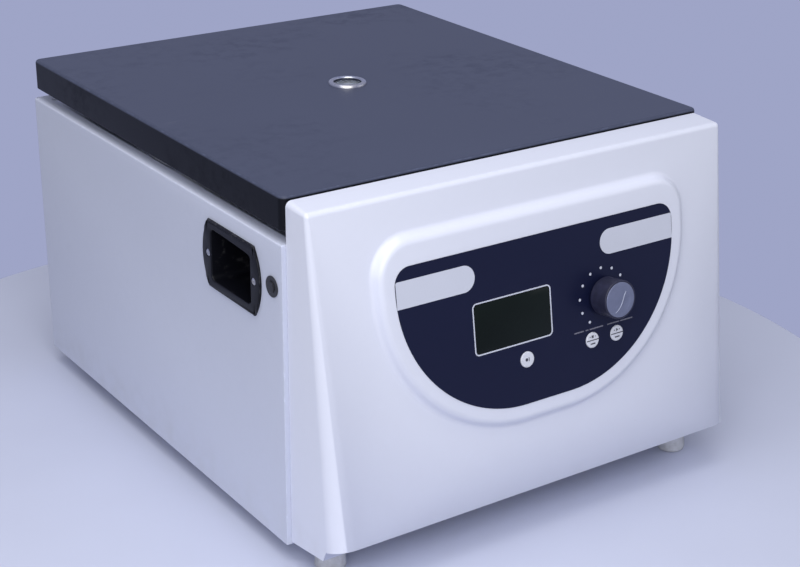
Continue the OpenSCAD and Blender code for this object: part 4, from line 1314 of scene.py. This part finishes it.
def soft_lamp(name, place, target, size, power):
    """A square soft box aimed at a target."""
    data = bpy.data.lights.new(name, "AREA")
    data.size = size
    data.energy = power
    lamp = bpy.data.objects.new(name, data)
    bpy.context.scene.collection.objects.link(lamp)
    lamp.location = place
    lamp.rotation_mode = "QUATERNION"
    lamp.rotation_quaternion = (Vector(target) - Vector(place)).to_track_quat("-Z", "Y")


def make_world():
    """Even studio light, with the wall's colour where the camera and mirrors look."""
    world = bpy.data.worlds.new("studio")
    bpy.context.scene.world = world
    world.use_nodes = True
    graph = Graph(world.node_tree)
    rays = graph.node("ShaderNodeLightPath", {}, {}).outputs
    camera, glossy, through = (
        Value(graph, rays[f"Is {kind} Ray"]) for kind in ("Camera", "Glossy", "Transmission")
    )
    light = graph.node("ShaderNodeBackground", {}, {"Color": (0.93, 0.95, 1.0, 1), "Strength": 0.34})
    wall = graph.node("ShaderNodeBackground", {}, {"Color": (*look("stage").wall_colour, 1)})
    mix = graph.node("ShaderNodeMixShader", {}, {
        0: camera.most(glossy).most(through), 1: light.outputs[0], 2: wall.outputs[0],
    })
    graph.node("ShaderNodeOutputWorld", {}, {"Surface": mix.outputs[0]})


def make_stage():
    """Round white table, world, lamps and camera."""
    table = disc("table_top", (-0.0478, -0.0063, -0.030), 0.5037, 0.030, vertices=256)
    with Editing(table) as edit:
        edit.edges(lambda a, b: near(a.z, 0) and near(b.z, 0) and a.length > 0.3)
        bpy.ops.mesh.bevel(offset=4 * MM, segments=4)
    smooth(table)
    f = Finish("table_top", tuple(look("stage").table_colour), 0.5)
    grain = f.noise(9, 3)
    table.data.materials.append(f.set(
        f.vary(grain, 0.97, 1.03), 0.45 + grain * 0.1,
    ))
    make_world()
    soft_lamp("key", (-0.8, -1.3, 1.0), (0, 0, 0.15), 1.2, look("stage").lamp_power)
    soft_lamp("fill", (1.8, -1.2, 1.0), (0, 0, 0.15), 1.5, 3)
    soft_lamp("side", (-1.1, -0.6, 0.5), (-0.2, -0.15, 0.1), 0.6, 1.6)
    soft_lamp("top", (-0.4, -0.3, 2.0), (0, 0, 0.25), 1.4, 19)
    make_camera()
    bpy.context.scene.view_settings.view_transform = "Standard"


# Operators and panel


class CENTRIFUGE_OT_casing(bpy.types.Operator):
    """Builds the sheet-metal walls."""

    bl_idname = "centrifuge.casing"
    bl_label = "Casing"

    def execute(self, context):
        make_casing()
        return {"FINISHED"}


class CENTRIFUGE_OT_lid(bpy.types.Operator):
    """Builds the moulded lid."""

    bl_idname = "centrifuge.lid"
    bl_label = "Lid"

    def execute(self, context):
        make_lid()
        return {"FINISHED"}


class CENTRIFUGE_OT_viewport(bpy.types.Operator):
    """Builds the lid's viewport."""

    bl_idname = "centrifuge.viewport"
    bl_label = "Viewport"

    def execute(self, context):
        make_viewport()
        return {"FINISHED"}


class CENTRIFUGE_OT_fascia(bpy.types.Operator):
    """Builds the moulded front with its platform."""

    bl_idname = "centrifuge.fascia"
    bl_label = "Fascia"

    def execute(self, context):
        make_fascia()
        return {"FINISHED"}


class CENTRIFUGE_OT_overlay(bpy.types.Operator):
    """Builds the printed overlay."""

    bl_idname = "centrifuge.overlay"
    bl_label = "Overlay"

    def execute(self, context):
        make_overlay()
        return {"FINISHED"}


class CENTRIFUGE_OT_window(bpy.types.Operator):
    """Builds the display window."""

    bl_idname = "centrifuge.window"
    bl_label = "Display window"

    def execute(self, context):
        make_window()
        return {"FINISHED"}


class CENTRIFUGE_OT_buttons(bpy.types.Operator):
    """Builds the three push buttons."""

    bl_idname = "centrifuge.buttons"
    bl_label = "Push buttons"

    def execute(self, context):
        make_buttons()
        return {"FINISHED"}


class CENTRIFUGE_OT_knob(bpy.types.Operator):
    """Builds the control knob and its cap."""

    bl_idname = "centrifuge.knob"
    bl_label = "Knob"

    def execute(self, context):
        make_knob()
        return {"FINISHED"}


class CENTRIFUGE_OT_recesses(bpy.types.Operator):
    """Builds both handle recesses."""

    bl_idname = "centrifuge.recesses"
    bl_label = "Handle recesses"

    def execute(self, context):
        make_recesses()
        return {"FINISHED"}


class CENTRIFUGE_OT_fittings(bpy.types.Operator):
    """Builds fittings, chamber and rotor from the packed forms."""

    bl_idname = "centrifuge.fittings"
    bl_label = "Fittings"

    def execute(self, context):
        make_fittings()
        return {"FINISHED"}


class CENTRIFUGE_OT_rocker_marks(bpy.types.Operator):
    """Builds the marks on the mains rocker."""

    bl_idname = "centrifuge.rocker_marks"
    bl_label = "Rocker marks"

    def execute(self, context):
        make_rocker_marks()
        return {"FINISHED"}


class CENTRIFUGE_OT_dressing(bpy.types.Operator):
    """Gives the packed nodes their materials."""

    bl_idname = "centrifuge.dressing"
    bl_label = "Packed nodes"

    def execute(self, context):
        dress_nodes()
        return {"FINISHED"}


class CENTRIFUGE_OT_stage(bpy.types.Operator):
    """Builds the table, the light and the camera."""

    bl_idname = "centrifuge.stage"
    bl_label = "Stage"

    def execute(self, context):
        make_stage()
        return {"FINISHED"}


OPERATORS = (
    CENTRIFUGE_OT_casing,
    CENTRIFUGE_OT_lid,
    CENTRIFUGE_OT_viewport,
    CENTRIFUGE_OT_fascia,
    CENTRIFUGE_OT_overlay,
    CENTRIFUGE_OT_window,
    CENTRIFUGE_OT_buttons,
    CENTRIFUGE_OT_knob,
    CENTRIFUGE_OT_recesses,
    CENTRIFUGE_OT_fittings,
    CENTRIFUGE_OT_rocker_marks,
    CENTRIFUGE_OT_dressing,
    CENTRIFUGE_OT_stage,
)


class CENTRIFUGE_PT_pieces(bpy.types.Panel):
    """Shows the sizes and colours, and builds the pieces."""

    bl_label = "Centrifuge"
    bl_idname = "CENTRIFUGE_PT_pieces"
    bl_space_type = "VIEW_3D"
    bl_region_type = "UI"
    bl_category = "Centrifuge"

    def draw(self, context):
        for name, group in GROUPS.items():
            box = self.layout.box()
            box.label(text=group.__doc__)
            for key in group.__annotations__:
                box.prop(getattr(context.scene, name), key)
        for operator in OPERATORS:
            self.layout.operator(operator.bl_idname)


def register():
    for name, group in GROUPS.items():
        bpy.utils.register_class(group)
        setattr(bpy.types.Scene, name, bpy.props.PointerProperty(type=group))
    for operator in OPERATORS:
        bpy.utils.register_class(operator)
    bpy.utils.register_class(CENTRIFUGE_PT_pieces)


def unregister():
    bpy.utils.unregister_class(CENTRIFUGE_PT_pieces)
    for operator in reversed(OPERATORS):
        bpy.utils.unregister_class(operator)
    for name, group in GROUPS.items():
        delattr(bpy.types.Scene, name)
        bpy.utils.unregister_class(group)


def main():
    register()
    for operator in OPERATORS:
        getattr(bpy.ops.centrifuge, operator.bl_idname.split(".")[1])()


if __name__ == "__main__":
    main()
